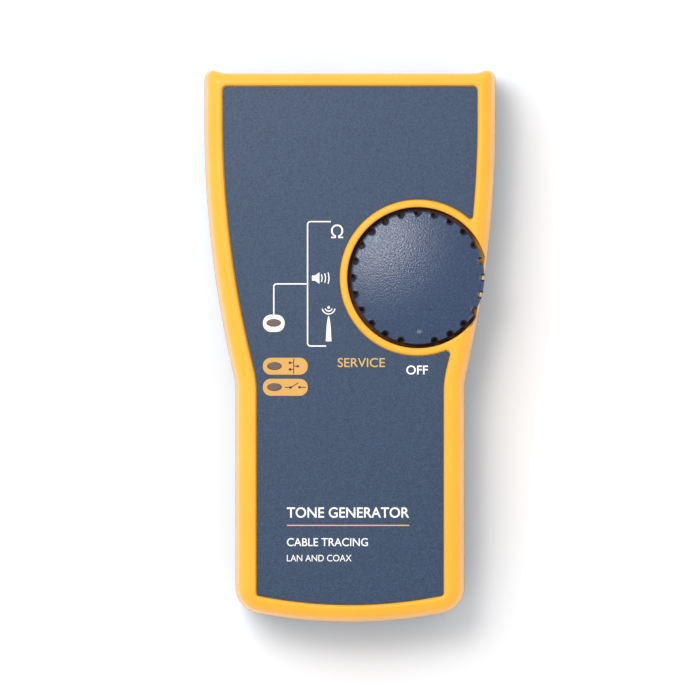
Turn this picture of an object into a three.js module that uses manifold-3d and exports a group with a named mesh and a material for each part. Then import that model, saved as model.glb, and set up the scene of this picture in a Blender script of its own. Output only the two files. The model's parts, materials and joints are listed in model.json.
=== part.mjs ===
// A handheld cable tone generator: the sending half of a tone-and-probe kit.
// Millimetres. +Z is out of the printed face, +Y is towards the connector end, +X is to the right
// as the face is read. The origin is on the surface that the feet rest on, under the case's middle.
import * as THREE from "three";
import { mergeVertices } from "three/addons/utils/BufferGeometryUtils.js";
import Module from "manifold-3d";

const wasm = await Module();
wasm.setup();

// ---- driving dimensions -------------------------------------------------------------------------

const FOOT_HEIGHT = 1;
const BACK_Z = FOOT_HEIGHT;
const PARTING_Z = 15;
const CREST_Z = 33;
const WALL = 2.4;
const FACE_WALL = 2;
const CLEAR = 0.3;
const SEAM = 0.1; // each shell stops this far short of the parting plane
const LIP_INSET = 1.5;
const LIP_DEPTH = 1.2;
const RABBET_INSET = 1.3;
const RABBET_DEPTH = 1.4;

// An outline is two mirrored halves: a shallow arc along the bottom, straight lower sides, a
// concave waist, wide arcs that lean out to the straight upper sides, and a flat top edge.
const CASE = {
  lowerHalf: 29.5,
  upperHalf: 37.5,
  sideRadius: 285,
  sideTop: 58,
  waistRadius: 20,
  bottom: -71,
  bottomRadius: 127,
  bottomCorner: 7,
  top: 70.2,
  topCorner: 2.2,
  ear: 0.8,
  earBlend: 4,
};
const PANEL = {
  lowerHalf: 24.1,
  upperHalf: 32.8,
  sideRadius: 262,
  sideTop: 58.5,
  waistRadius: 25,
  bottom: -66.4,
  bottomRadius: 119,
  bottomCorner: 0.8,
  top: 67,
  topCorner: 1.3,
  ear: 0.02,
  earBlend: 4,
};
const TOP_SHARE = 0.62; // the bezel is narrower along the top edge
const PANEL_FLOOR_Z = CREST_Z - 1;
const CEILING_Z = PANEL_FLOOR_Z - FACE_WALL;
const INNER_BACK_Z = BACK_Z + FACE_WALL;
const OVERLAY_THICK = 0.4;

const DIAL = { x: 17.4, y: 17.7 };
const WELL_RADIUS = 18.1;
const WELL_RING_RADIUS = 20;
const WELL_FLOOR_Z = 26;
const WELL_UNDERSIDE_Z = 24.2;
const SHAFT_HOLE_RADIUS = 5.4;
const KNOB_RADIUS = 17.15;
const KNOB_BASE_Z = 26.7;
const KNOB_RIM_Z = 33.2;
const KNOB_TOP_Z = 34;
const KNOB_POINTER_Z = 33.45; // the crown's height where the pointer dimple is
const KNOB_FLUTE_STEPS = 24; // one flute every 15 degrees, with none at the pointer
const FLUTE_RADIUS = 1;
const FLUTE_CENTRE_RADIUS = 16.75;
const POINTER_RADIUS = 13.6;
const DIMPLE_RADIUS = 1.3;
const DIMPLE_DEPTH = 0.32;
const HUB_RADIUS = 4.9;
const WEB_RADIUS = 8.3;
const DRIVE_HALF = 2.5;

const BOARD_BOTTOM_Z = 19.4;
const BOARD_TOP_Z = 21;
const BOARD_EDGE_Y = -11.7;
const BOARD_END_Y = 58;
const BOARD_INSET = 4.2;
const ROTOR_BOTTOM_Z = 22;
const ROTOR_TOP_Z = 23.8;
const ROTOR_RADIUS = 14.4;
const DETENTS = 12;
const DETENT_ANGLE = THREE.MathUtils.degToRad(75);
const STOP_RADIUS = 16.1;
const LUG_ANGLE = THREE.MathUtils.degToRad(240);
const SPRING = {
  u: 15.4,
  hookU: 16.7,
  hookV: 7.4,
  hookRadius: 1.3,
  noseU: 14.75,
  noseRadius: 0.8,
  thick: 0.4,
};
const TRAVEL = THREE.MathUtils.degToRad(120);
const STOP_MARGIN = THREE.MathUtils.degToRad(9);

const WINDOWS = [
  { x: -19.6, y: 6.1 },
  { x: -19.4, y: -5 },
  { x: -19.4, y: -10.4 },
];
const WINDOW_HALF_X = 1.85;
const WINDOW_HALF_Y = 0.95;

const CASE_SCREWS = [
  [-30.2, 54],
  [30.2, 54],
  [-22.6, -59],
  [22.6, -59],
];
const FEET = [
  [-27.5, 42],
  [27.5, 42],
  [-21.4, -46],
  [21.4, -46],
];
const FOOT_RADIUS = 3.2;
const BOARD_SCREWS = [
  [-24.3, 0.6],
  [-28.5, 38],
  [21, -7],
];
const CASE_SCREW = { head: 2.5, headZ: 2, headTop: 3.95, shank: 1.4, tipZ: 24 };
const BOARD_SCREW = { head: 2, headZ: 17.7, headTop: 19.35, shank: 1, tipZ: 27 };
const ROTOR_SCREW = { head: 4.3, headZ: 20.5, headTop: 21.95, shank: 1.2, tipZ: 28 };

const CONTROLLER = { x: -18, y: 26, halfX: 4, halfY: 5, thick: 1.7, legs: 8 };
const LINE_DRIVER = { x: -12, y: 18, halfX: 2, halfY: 2.6, thick: 1.6, legs: 4 };
const CORE = { x: 13, y: 40, halfX: 7, halfY: 3, z0: 8.3, z1: 19.2, leg: 2 };
const CRYSTAL = { x: -8, y: 34, halfX: 3.3, radius: 2.2, height: 3.6 };
const CAPACITORS = [
  [-21, 14],
  [-21, 24],
];
const CAPACITOR = { radius: 3.15, height: 8.4 };

const BAY = { halfX: 13.7, y0: -65.7, y1: -13.5, top: 21.8, wall: 1.5 };
const BATTERY = {
  halfX: 13.1,
  y0: -65.4,
  y1: -19.6,
  z0: 4.3,
  z1: 21.5,
  corner: 2.2,
  terminalX: 6.35,
  terminalY: -17,
};
const BATTERY_MIDDLE_Z = (BATTERY.z0 + BATTERY.z1) / 2;
const DOOR = {
  halfX: 14.6,
  y1: -14,
  top: 2.8,
  tongueX: 16,
  tongueZ0: 1.9,
  latchX: 9,
  latchTop: 4.2,
  railX: 17.9,
  railTop: 4.4,
  gripHalf: 7,
  gripY: -61.6,
  gripPitch: 1.9,
  grips: 5,
};
const LABEL_RECESS = { halfX: 17, y0: 4, y1: 34, depth: 0.3 };

const END_OPENING_HALF = 29;
const END_OPENING_Z0 = 3.6;
const END_OPENING_Z1 = 29.5;
const JACK = { x: -13, halfX: 7.95, z0: 5.9, z1: 19.1, y0: 53.8, y1: 69.2 };
const PORT = { halfX: 5.95, z0: 10.1, z1: 16.9, y0: 56.6 };
const CONTACTS = 8;
const CONTACT_PITCH = 1.02;
const CONTACT_THICK = 0.34;
const CONTACT_ROOT = { y: 66, z: 10 };
const COAX = { x: 14, z: 13.5, radius: 4.7, y0: 55.8, y1: 68.6, flange: 5.6, thread: 0.79 };
const POCKET = { halfX: 10, halfZ: 8.8, floorY: 60.8, wall: 1.4 };

// ---- materials ----------------------------------------------------------------------------------

const finish = (color, roughness, metalness = 0) =>
  new THREE.MeshStandardMaterial({ color, roughness, metalness });
const YELLOW = finish(0xf0a51c, 0.42);
const SLATE = finish(0x3c4658, 0.6);
const OVERLAY = finish(0x46566e, 0.5);
const BLACK = finish(0x1b1c1e, 0.55);
const RUBBER = finish(0x202124, 0.85);
const SMOKE = finish(0x5c504a, 0.25);
const STEEL = finish(0xb9bcc0, 0.3, 1);
const NICKEL = finish(0xc9c6bd, 0.22, 1);
const GOLD = finish(0xd9a53a, 0.25, 1);
const BRASS = finish(0xc79a48, 0.32, 1);
const WHITE = finish(0xe9e6dd, 0.5);
const BOARD = finish(0x1f5b38, 0.45);
const LABEL = finish(0xc9cbce, 0.4);
const FOAM = finish(0x2a2b2d, 0.95);
const RED = finish(0xb3221c, 0.5);
const JACKET = finish(0x2b2e33, 0.35);

// ---- solids from three.js geometry --------------------------------------------------------------

/** A closed three.js geometry as a solid, with its shared vertices merged and its faces out. */
function solid(geometry) {
  const loose = geometry.index ? geometry.toNonIndexed() : geometry;
  const points = new THREE.BufferGeometry().setAttribute("position", loose.getAttribute("position"));
  const merged = mergeVertices(points, 1e-4);
  const corners = merged.index.array;
  const kept = [];
  for (let i = 0; i < corners.length; i += 3) {
    const [a, b, c] = corners.subarray(i, i + 3);
    if (a !== b && b !== c && c !== a) kept.push(a, b, c);
  }
  const build = (triangles) =>
    new wasm.Manifold(
      new wasm.Mesh({
        numProp: 3,
        vertProperties: merged.attributes.position.array,
        triVerts: new Uint32Array(triangles),
      }),
    );
  const made = build(kept);
  return made.volume() < 0 ? build(kept.reverse()) : made;
}

/** A solid's vertices and triangles as a three.js geometry. */
function geometryOf(made) {
  const { numProp, vertProperties, triVerts } = made.getMesh();
  const count = vertProperties.length / numProp;
  const positions = new Float32Array(count * 3);
  for (let i = 0; i < count; i++) {
    positions.set(vertProperties.subarray(i * numProp, i * numProp + 3), i * 3);
  }
  return new THREE.BufferGeometry()
    .setAttribute("position", new THREE.BufferAttribute(positions, 3))
    .setIndex(new THREE.BufferAttribute(new Uint32Array(triVerts), 1));
}

/** A box between two corners. */
function box(x0, x1, y0, y1, z0, z1) {
  const shape = new THREE.BoxGeometry(x1 - x0, y1 - y0, z1 - z0);
  return solid(shape.translate((x0 + x1) / 2, (y0 + y1) / 2, (z0 + z1) / 2));
}

/** An upright cylinder from z0 to z1. */
function post(x, y, radius, z0, z1, segments = 20) {
  const shape = new THREE.CylinderGeometry(radius, radius, z1 - z0, segments);
  return solid(shape.rotateX(Math.PI / 2).translate(x, y, (z0 + z1) / 2));
}

/** A cylinder lying along Y from y0 to y1. */
function bar(x, z, radius, y0, y1, segments = 20) {
  const shape = new THREE.CylinderGeometry(radius, radius, y1 - y0, segments);
  return solid(shape.translate(x, (y0 + y1) / 2, z));
}

/** A flat loop of points pushed up from z0 to z1. */
function prism(loop, z0, z1) {
  const shape = new THREE.ExtrudeGeometry(new THREE.Shape(loop), { depth: z1 - z0, bevelEnabled: false });
  return solid(shape.translate(0, 0, z0));
}

/** Loops with equal numbers of points, one above another, as one skin with flat ends. */
function loft(levels) {
  const positions = [];
  const count = levels[0].loop.length;
  const push = (level, i) => {
    const p = levels[level].loop[i % count];
    positions.push(p.x, p.y, levels[level].z);
  };
  for (let k = 0; k + 1 < levels.length; k++) {
    for (let i = 0; i < count; i++) {
      push(k, i);
      push(k, i + 1);
      push(k + 1, i + 1);
      push(k, i);
      push(k + 1, i + 1);
      push(k + 1, i);
    }
  }
  const cap = (level, order) => {
    const faces = THREE.ShapeUtils.triangulateShape(levels[level].loop, []);
    faces.forEach((face) => order.forEach((corner) => push(level, face[corner])));
  };
  cap(0, [2, 1, 0]);
  cap(levels.length - 1, [0, 1, 2]);
  const skin = new THREE.Float32BufferAttribute(positions, 3);
  return solid(new THREE.BufferGeometry().setAttribute("position", skin));
}

/** A profile of [radius, z] pairs turned about an upright axis. */
function turned(x, y, profile, segments = 48) {
  const points = profile.map(([radius, z]) => new THREE.Vector2(radius, z));
  const shape = new THREE.LatheGeometry([...points, points[0].clone()], segments);
  return solid(shape.rotateX(Math.PI / 2).translate(x, y, 0));
}

/** A row of solids joined into one. */
const joined = (pieces) => pieces.reduce((all, piece) => all.add(piece));

// ---- flat outlines ------------------------------------------------------------------------------

/** Points on an arc from one angle to another, both ends included. */
function arc(cx, cy, radius, from, to, steps) {
  return Array.from({ length: steps + 1 }, (_, i) => {
    const angle = from + ((to - from) * i) / steps;
    return new THREE.Vector2(cx + radius * Math.cos(angle), cy + radius * Math.sin(angle));
  });
}

/** The outline of a spec, pulled in by inset along the sides and bottom and by topInset at the top. */
function outline(spec, inset = 0, topInset = inset) {
  const lowerX = spec.lowerHalf - inset;
  const bottomArc = spec.bottomRadius - inset;
  const bottomY = spec.bottom + spec.bottomRadius;
  const corner = Math.max(spec.bottomCorner - inset, 0.5);
  const cornerX = lowerX - corner;
  const cornerY = bottomY - Math.sqrt((bottomArc - corner) ** 2 - cornerX ** 2);
  const cornerAngle = Math.atan2(cornerY - bottomY, cornerX);

  const sideX = spec.upperHalf - spec.sideRadius;
  const sideArc = spec.sideRadius - inset;
  const waist = spec.waistRadius + inset;
  const waistX = lowerX + waist;
  const waistY = spec.sideTop - Math.sqrt((sideArc + waist) ** 2 - (waistX - sideX) ** 2);
  const waistAngle = Math.atan2(waistY - spec.sideTop, waistX - sideX);

  const upperX = spec.upperHalf - inset;
  const topY = spec.top - topInset;
  const ear = Math.max(spec.ear * (1 - inset / 2), 0.02);
  const round = Math.max(spec.topCorner - 0.7 * inset, 0.8);
  const earX = upperX - round;
  const earY = topY + ear - round;
  const reach = round + spec.earBlend;
  const blendX = earX - Math.sqrt(2 * reach * ear - ear ** 2);
  const blendY = topY + spec.earBlend;
  const blendAngle = Math.atan2(earY - blendY, earX - blendX);

  const half = [
    ...arc(0, bottomY, bottomArc, -Math.PI / 2, cornerAngle, 6).slice(1),
    ...arc(cornerX, cornerY, corner, cornerAngle, 0, 6).slice(1),
    ...arc(waistX, waistY, waist, Math.PI, Math.PI + waistAngle, 4),
    ...arc(sideX, spec.sideTop, sideArc, waistAngle, 0, 8).slice(1),
    ...arc(earX, earY, round, 0, blendAngle + Math.PI, 6),
    ...arc(blendX, blendY, spec.earBlend, blendAngle, -Math.PI / 2, 3).slice(1),
  ];
  const left = half.map((p) => new THREE.Vector2(-p.x, p.y)).reverse();
  return [...half, ...left, new THREE.Vector2(0, spec.bottom + inset)];
}

/** An ellipse with its centre at x, y. */
function oval(x, y, halfX, halfY, segments = 16) {
  return Array.from({ length: segments }, (_, i) => {
    const angle = (2 * Math.PI * i) / segments;
    return new THREE.Vector2(x + halfX * Math.cos(angle), y + halfY * Math.sin(angle));
  });
}

/** A window's outline, grown by margin. */
const windowOval = ({ x, y }, margin = 0) => oval(x, y, WINDOW_HALF_X + margin, WINDOW_HALF_Y + margin);

/** A point at a distance and angle from the dial's centre. */
const aroundDial = (radius, angle) => [
  DIAL.x + radius * Math.cos(angle),
  DIAL.y + radius * Math.sin(angle),
];

// ---- case ---------------------------------------------------------------------------------------

/** Levels of a shell from its drafted wall over an elliptical edge: [z, inset] pairs as loops. */
const levelsOf = (pairs) =>
  pairs.map(([z, inset]) => ({ z, loop: outline(CASE, inset, inset * TOP_SHARE) }));

/** The quarter ellipse that rounds a shell's edge, from the wall to the flat. */
function edge(wallZ, wallInset, flatZ, flatInset, steps) {
  return Array.from({ length: steps }, (_, i) => {
    const angle = (Math.PI / 2) * ((i + 1) / steps);
    const inset = flatInset - (flatInset - wallInset) * Math.cos(angle);
    return [wallZ + (flatZ - wallZ) * Math.sin(angle), inset];
  });
}

const frontOuter = () =>
  loft(levelsOf([[PARTING_Z + SEAM, 0], [24, 0.45], [29, 0.9], ...edge(29, 0.9, CREST_Z, 3.6, 5)]));
const rearOuter = () =>
  loft(levelsOf([...edge(5, 0.8, BACK_Z, 4, 4).reverse(), [5, 0.8], [9, 0.3], [PARTING_Z - SEAM, 0]]));

function frontShell() {
  const cavity = prism(outline(CASE, WALL), 0, CEILING_Z);
  const wellBoss = post(DIAL.x, DIAL.y, WELL_RING_RADIUS, WELL_UNDERSIDE_Z, CREST_Z, 60);
  const recess = prism(outline(PANEL), PANEL_FLOOR_Z, CREST_Z + 1);
  const well = post(DIAL.x, DIAL.y, WELL_RADIUS, WELL_FLOOR_Z, CREST_Z + 1, 60);
  const shaftHole = post(DIAL.x, DIAL.y, SHAFT_HOLE_RADIUS, 20, CREST_Z, 36);
  const lip = prism(outline(CASE, LIP_INSET), PARTING_Z - LIP_DEPTH, PARTING_Z + 0.2).subtract(
    prism(outline(CASE, WALL), 0, CREST_Z),
  );
  const bossTop = CEILING_Z + 0.2;
  const screwBosses = CASE_SCREWS.map(([x, y]) => post(x, y, 3, PARTING_Z + SEAM, bossTop));
  const boardBosses = BOARD_SCREWS.map(([x, y]) => post(x, y, 2.2, BOARD_TOP_Z + 0.1, bossTop, 16));
  const underWell = WELL_UNDERSIDE_Z + 0.2;
  const stops = [LUG_ANGLE + STOP_MARGIN, LUG_ANGLE - TRAVEL - STOP_MARGIN].map((angle) =>
    post(...aroundDial(STOP_RADIUS, angle), 1, ROTOR_BOTTOM_Z, underWell, 12),
  );
  const springPosts = [-1, 1].map((side) =>
    post(...besideNotch(SPRING.hookU, side * SPRING.hookV), 0.8, ROTOR_BOTTOM_Z - 0.2, underWell, 12),
  );
  const cuts = [
    recess.subtract(wellBoss),
    well,
    shaftHole,
    ...WINDOWS.map((at) => prism(windowOval(at, 0.25), 25, CREST_Z)),
    ...CASE_SCREWS.map(([x, y]) => post(x, y, 1.6, 0, 27.5, 12)),
    ...BOARD_SCREWS.map(([x, y]) => post(x, y, 1.2, 0, 28, 10)),
    box(-END_OPENING_HALF, END_OPENING_HALF, 62, 80, 0, END_OPENING_Z1),
  ];
  const shell = frontOuter().subtract(cavity.subtract(wellBoss));
  const fittings = [lip, ...screwBosses, ...boardBosses, ...stops, ...springPosts];
  return joined([shell, ...fittings]).subtract(joined(cuts));
}

/** The cut in the rear shell that the battery door fills, with a groove along each side. */
function doorOpening() {
  const { halfX, y1, top, tongueX, tongueZ0, latchX, latchTop } = DOOR;
  const roof = top + CLEAR;
  const mouth = box(-halfX - CLEAR, halfX + CLEAR, -80, y1 + CLEAR, -1, roof);
  const grooves = box(-tongueX - CLEAR, tongueX + CLEAR, -80, -15.6, tongueZ0 - CLEAR, roof);
  const latchNotch = box(-latchX - CLEAR, latchX + CLEAR, -80, BAY.y0 + 1, -1, latchTop + CLEAR);
  return joined([mouth, grooves, latchNotch]);
}

function rearShell() {
  const cavity = prism(outline(CASE, WALL), INNER_BACK_Z, 30);
  const rabbet = prism(outline(CASE, RABBET_INSET), PARTING_Z - RABBET_DEPTH, 30);
  const tubHalf = BAY.halfX + BAY.wall;
  const tub = box(-tubHalf, tubHalf, BAY.y0 - 3.2, BAY.y1 + 1.4, INNER_BACK_Z - 0.1, BAY.top + BAY.wall);
  const tubEnd = box(-40, 40, -80, BAY.y0 - 1.4, PARTING_Z - 1.5, 40);
  const rails = box(-DOOR.railX, DOOR.railX, -67, BAY.y1 + 1.4, INNER_BACK_Z - 0.1, DOOR.railTop);
  const screwBosses = CASE_SCREWS.map(([x, y]) => post(x, y, 3.6, BACK_Z + 1, PARTING_Z - SEAM));
  const rib = box(29, 35.2, 63.9, 65.6, BACK_Z + 1.5, PARTING_Z - 1.6);
  const label = LABEL_RECESS;
  const cuts = [
    box(-BAY.halfX, BAY.halfX, BAY.y0, BAY.y1, -1, BAY.top),
    doorOpening(),
    box(-4, 4, BAY.y1 - 1, BAY.y1 + 2, 14.5, 19),
    ...CASE_SCREWS.map(([x, y]) => post(x, y, 2.9, -1, 4).add(post(x, y, 1.8, 3, 20, 16))),
    ...FEET.map(([x, y]) => post(x, y, FOOT_RADIUS + 0.2, -1, BACK_Z + 0.7)),
    box(-label.halfX, label.halfX, label.y0, label.y1, -1, BACK_Z + label.depth),
    box(-END_OPENING_HALF, END_OPENING_HALF, 66, 80, END_OPENING_Z0, 30),
  ];
  const shell = rearOuter().subtract(cavity).subtract(rabbet);
  const fittings = [tub.subtract(tubEnd), rails, ...screwBosses, rib, rib.mirror([1, 0, 0])];
  return joined([shell, ...fittings]).subtract(joined(cuts));
}

function faceplateOverlay() {
  const sheet = prism(outline(PANEL, 0.15), PANEL_FLOOR_Z, PANEL_FLOOR_Z + OVERLAY_THICK);
  const holes = WINDOWS.map((at) => prism(windowOval(at, 0.12), 30, 35));
  return sheet.subtract(joined([post(DIAL.x, DIAL.y, WELL_RING_RADIUS + 0.15, 30, 35, 60), ...holes]));
}

function connectorPanel() {
  const flange = box(-30.2, 30.2, 65.9, 67.5, INNER_BACK_Z + 0.2, CEILING_Z - CLEAR);
  const half = END_OPENING_HALF - CLEAR;
  const face = box(-half, half, 67, 69.4, END_OPENING_Z0 + CLEAR, END_OPENING_Z1 - CLEAR);
  const { halfX, halfZ, floorY, wall } = POCKET;
  const pocket = (grow, y0, y1) => {
    const [reachX, reachZ] = [halfX + grow, halfZ + grow];
    return box(COAX.x - reachX, COAX.x + reachX, y0, y1, COAX.z - reachZ, COAX.z + reachZ);
  };
  const around = JACK.halfX + 2 * CLEAR;
  const cuts = [
    pocket(0, floorY, 80),
    box(JACK.x - around, JACK.x + around, 60, 80, JACK.z0 - 2 * CLEAR, JACK.z1 + 2 * CLEAR),
    bar(COAX.x, COAX.z, COAX.radius + CLEAR, 50, 80, 32),
  ];
  return joined([flange, face, pocket(wall, floorY - wall, 67)]).subtract(joined(cuts));
}

/** A cross-recessed screw pointing up: a pan head below headTop and a shank above it. */
function screw(x, y, { head, headZ, headTop, shank, tipZ }) {
  const profile = [
    [0, headZ],
    [head * 0.7, headZ],
    [head, headZ + 0.6],
    [head, headTop],
    [0, headTop],
  ];
  const pan = turned(0, 0, profile, 16);
  const reach = head * 0.55;
  const cross = joined([
    box(-reach, reach, -0.35, 0.35, headZ - 1, headZ + 0.8),
    box(-0.35, 0.35, -reach, reach, headZ - 1, headZ + 0.8),
  ]);
  return pan
    .add(post(0, 0, shank, headTop - 0.1, tipZ, 10))
    .subtract(cross)
    .translate(x, y, 0);
}

function foot([x, y]) {
  const top = BACK_Z + 0.6;
  const profile = [
    [0, 0],
    [FOOT_RADIUS - 0.5, 0],
    [FOOT_RADIUS, 0.5],
    [FOOT_RADIUS, top],
    [0, top],
  ];
  return turned(x, y, profile, 24);
}

/** A foil label a little smaller than its recess. */
function ratingLabel() {
  const { halfX, y0, y1 } = LABEL_RECESS;
  return box(0.2 - halfX, halfX - 0.2, y0 + 0.2, y1 - 0.2, BACK_Z + 0.05, BACK_Z + 0.28);
}

// ---- battery door and battery -------------------------------------------------------------------

function batteryDoor() {
  const plate = box(-DOOR.halfX, DOOR.halfX, -80, DOOR.y1, 0, DOOR.top);
  const tongues = box(-DOOR.tongueX, DOOR.tongueX, -80, -16, DOOR.tongueZ0, DOOR.top);
  const latch = box(-DOOR.latchX, DOOR.latchX, -80, BAY.y0 - 0.4, DOOR.top - 0.1, DOOR.latchTop);
  const grips = Array.from({ length: DOOR.grips }, (_, i) => {
    const y = DOOR.gripY + i * DOOR.gripPitch;
    return box(-DOOR.gripHalf, DOOR.gripHalf, y, y + 0.8, BACK_Z - 0.3, BACK_Z + 0.2);
  });
  return joined([rearOuter().intersect(joined([plate, tongues, latch])), ...grips]);
}

const doorPad = () => box(-9, 9, -58, -26, DOOR.top + 0.02, BATTERY.z0 - 0.1);

function batteryCase() {
  const r = BATTERY.corner;
  const x = BATTERY.halfX - r;
  const z = (BATTERY.z1 - BATTERY.z0) / 2 - r;
  const loop = [
    ...arc(x, z, r, 0, Math.PI / 2, 4),
    ...arc(-x, z, r, Math.PI / 2, Math.PI, 4),
    ...arc(-x, -z, r, Math.PI, 1.5 * Math.PI, 4),
    ...arc(x, -z, r, 1.5 * Math.PI, 2 * Math.PI, 4),
  ];
  const shape = new THREE.ExtrudeGeometry(new THREE.Shape(loop), {
    depth: BATTERY.y1 - BATTERY.y0,
    bevelEnabled: false,
  });
  return solid(shape.rotateX(Math.PI / 2).translate(0, BATTERY.y1, BATTERY_MIDDLE_Z));
}

/** A bar along Y on the axis of the battery's positive or negative terminal. */
const onTerminal = (side, radius, y0, y1, segments) =>
  bar(side * BATTERY.terminalX, BATTERY_MIDDLE_Z, radius, y0, y1, segments);

const studTerminal = () => onTerminal(1, 2.8, BATTERY.y1, BATTERY.terminalY, 20);
const socketTerminal = () =>
  onTerminal(-1, 4.2, BATTERY.y1, BATTERY.terminalY, 6).subtract(
    onTerminal(-1, 3, BATTERY.y1 + 0.5, BATTERY.terminalY + 1, 20),
  );

/** The clip that presses on the battery's terminals: a pad, a crown round the stud and its own stud. */
function batterySnap() {
  const { y1, terminalY } = BATTERY;
  const [z0, z1] = [BATTERY_MIDDLE_Z - 7, BATTERY_MIDDLE_Z + 7];
  const pad = box(-12.6, 12.6, terminalY + 0.2, BAY.y1 - 0.4, z0, z1);
  const crown = onTerminal(1, 4.2, y1 + 0.3, terminalY + 0.4, 16).subtract(
    onTerminal(1, 3.1, y1, terminalY + 0.2, 16),
  );
  const stud = onTerminal(-1, 2.7, y1 + 0.8, terminalY + 0.4, 16);
  return joined([pad, crown, stud]);
}

/** A battery lead: an eight-sided tube of 1.3 mm wire along a smooth route. */
function lead(side) {
  const route = new THREE.CatmullRomCurve3(
    [
      [1.5, -13.8, 17.3],
      [1.7, -10.5, 17.1],
      [2.6, -6.5, 15.6],
      [4.4, -2.5, 14.9],
      [6.3, 0.6, 16.4],
      [6.8, 1.6, 19.25],
    ].map(([x, y, z]) => new THREE.Vector3(side * x, y, z)),
  );
  const section = new THREE.Shape(oval(0, 0, 0.65, 0.65, 8));
  return solid(new THREE.ExtrudeGeometry(section, { steps: 12, extrudePath: route }));
}

// ---- dial ---------------------------------------------------------------------------------------

/** The knob's side outline: a circle with a flute every 15 degrees, and none below the pointer. */
function flutedLoop() {
  const half = Math.asin(FLUTE_RADIUS / FLUTE_CENTRE_RADIUS) * 1.02;
  const step = (2 * Math.PI) / KNOB_FLUTE_STEPS;
  const onRim = (angle) => new THREE.Vector2(KNOB_RADIUS * Math.cos(angle), KNOB_RADIUS * Math.sin(angle));
  const flute = (angle) => {
    const cx = FLUTE_CENTRE_RADIUS * Math.cos(angle);
    const cy = FLUTE_CENTRE_RADIUS * Math.sin(angle);
    return arc(cx, cy, FLUTE_RADIUS, angle - Math.PI / 2, angle - 1.5 * Math.PI, 4);
  };
  return Array.from({ length: KNOB_FLUTE_STEPS }, (_, i) => {
    const angle = -Math.PI / 2 + step * i;
    const between = onRim(angle + step / 2);
    if (i === 0) return [...arc(0, 0, KNOB_RADIUS, angle - half, angle + half, 2), between];
    return [onRim(angle - half), ...flute(angle), onRim(angle + half), between];
  }).flat();
}

/** An upright cylinder on the dial's axis. */
const onDial = (radius, z0, z1, segments) => post(DIAL.x, DIAL.y, radius, z0, z1, segments);

function dialKnob() {
  const skirt = prism(flutedLoop(), KNOB_BASE_Z, KNOB_TOP_Z + 1).translate(DIAL.x, DIAL.y, 0);
  const crown = turned(DIAL.x, DIAL.y, [
    [0, KNOB_BASE_Z],
    [KNOB_RADIUS + 0.5, KNOB_BASE_Z],
    [KNOB_RADIUS + 0.5, KNOB_RIM_Z - 1.3],
    [KNOB_RADIUS - 0.35, KNOB_RIM_Z - 0.4],
    [KNOB_RADIUS - 1.1, KNOB_RIM_Z],
    [KNOB_RADIUS - 5.5, KNOB_RIM_Z + 0.45],
    [KNOB_RADIUS - 11, KNOB_TOP_Z - 0.1],
    [0, KNOB_TOP_Z],
  ]);
  const hollow = onDial(15, 20, 31.4, 48).subtract(onDial(WEB_RADIUS, 20, 32, 32));
  const drive = DRIVE_HALF;
  const base = joined([
    skirt.intersect(crown).subtract(hollow),
    onDial(WEB_RADIUS, KNOB_BASE_Z - 0.2, 31.6, 32),
    onDial(HUB_RADIUS, ROTOR_TOP_Z + 0.1, 31.6, 32),
    box(DIAL.x - drive, DIAL.x + drive, DIAL.y - drive, DIAL.y + drive, ROTOR_BOTTOM_Z + CLEAR, 25),
  ]);
  const pilot = onDial(1.5, 20, 29.5, 12);
  const ball = new THREE.SphereGeometry(DIMPLE_RADIUS, 16, 12);
  const dimpleZ = KNOB_POINTER_Z - DIMPLE_DEPTH + DIMPLE_RADIUS;
  const dimple = solid(ball.translate(DIAL.x, DIAL.y - POINTER_RADIUS, dimpleZ));
  return base.subtract(pilot).subtract(dimple);
}

const dialWasher = () =>
  onDial(8.2, WELL_FLOOR_Z + 0.02, WELL_FLOOR_Z + 0.4, 32).subtract(onDial(5.3, 20, 30, 32));

/** The detent wheel under the well: round notches every 30 degrees, a stop lug and a square drive. */
function dialRotor() {
  const disc = onDial(ROTOR_RADIUS, ROTOR_BOTTOM_Z, ROTOR_TOP_Z, 48);
  const notches = Array.from({ length: DETENTS }, (_, i) => {
    const angle = DETENT_ANGLE + (2 * Math.PI * i) / DETENTS;
    return post(...aroundDial(ROTOR_RADIUS + 0.4, angle), 1.3, 20, 25, 16);
  });
  const lug = box(ROTOR_RADIUS - 1, STOP_RADIUS + 0.7, -0.9, 0.9, ROTOR_BOTTOM_Z, ROTOR_TOP_Z);
  const lugInPlace = lug.rotate([0, 0, THREE.MathUtils.radToDeg(LUG_ANGLE)]).translate(DIAL.x, DIAL.y, 0);
  const socket = DRIVE_HALF + CLEAR;
  const square = box(DIAL.x - socket, DIAL.x + socket, DIAL.y - socket, DIAL.y + socket, 20, 25);
  return disc.subtract(joined(notches)).add(lugInPlace).subtract(square);
}

/** A spring-brass ring under the rotor with three fingers that reach down to the board. */
function wiperContact() {
  const ring = onDial(12.2, 21.7, 21.95, 36).subtract(onDial(10.2, 20, 25, 36));
  const fingers = [0, 1, 2].map((i) => {
    const tip = box(10.4, 12, -4.4, -0.2, 21.1, 21.35).add(box(10.4, 12, -0.5, -0.2, 21.1, 21.9));
    return tip.rotate([0, 0, i * 120 + 20]).translate(DIAL.x, DIAL.y, 0);
  });
  return joined([ring, ...fingers]);
}

/** A point beside the detent notch, u outwards from the dial's centre and v along the rim. */
function besideNotch(u, v) {
  const [cos, sin] = [Math.cos(DETENT_ANGLE), Math.sin(DETENT_ANGLE)];
  return [DIAL.x + u * cos - v * sin, DIAL.y + u * sin + v * cos];
}

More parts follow.
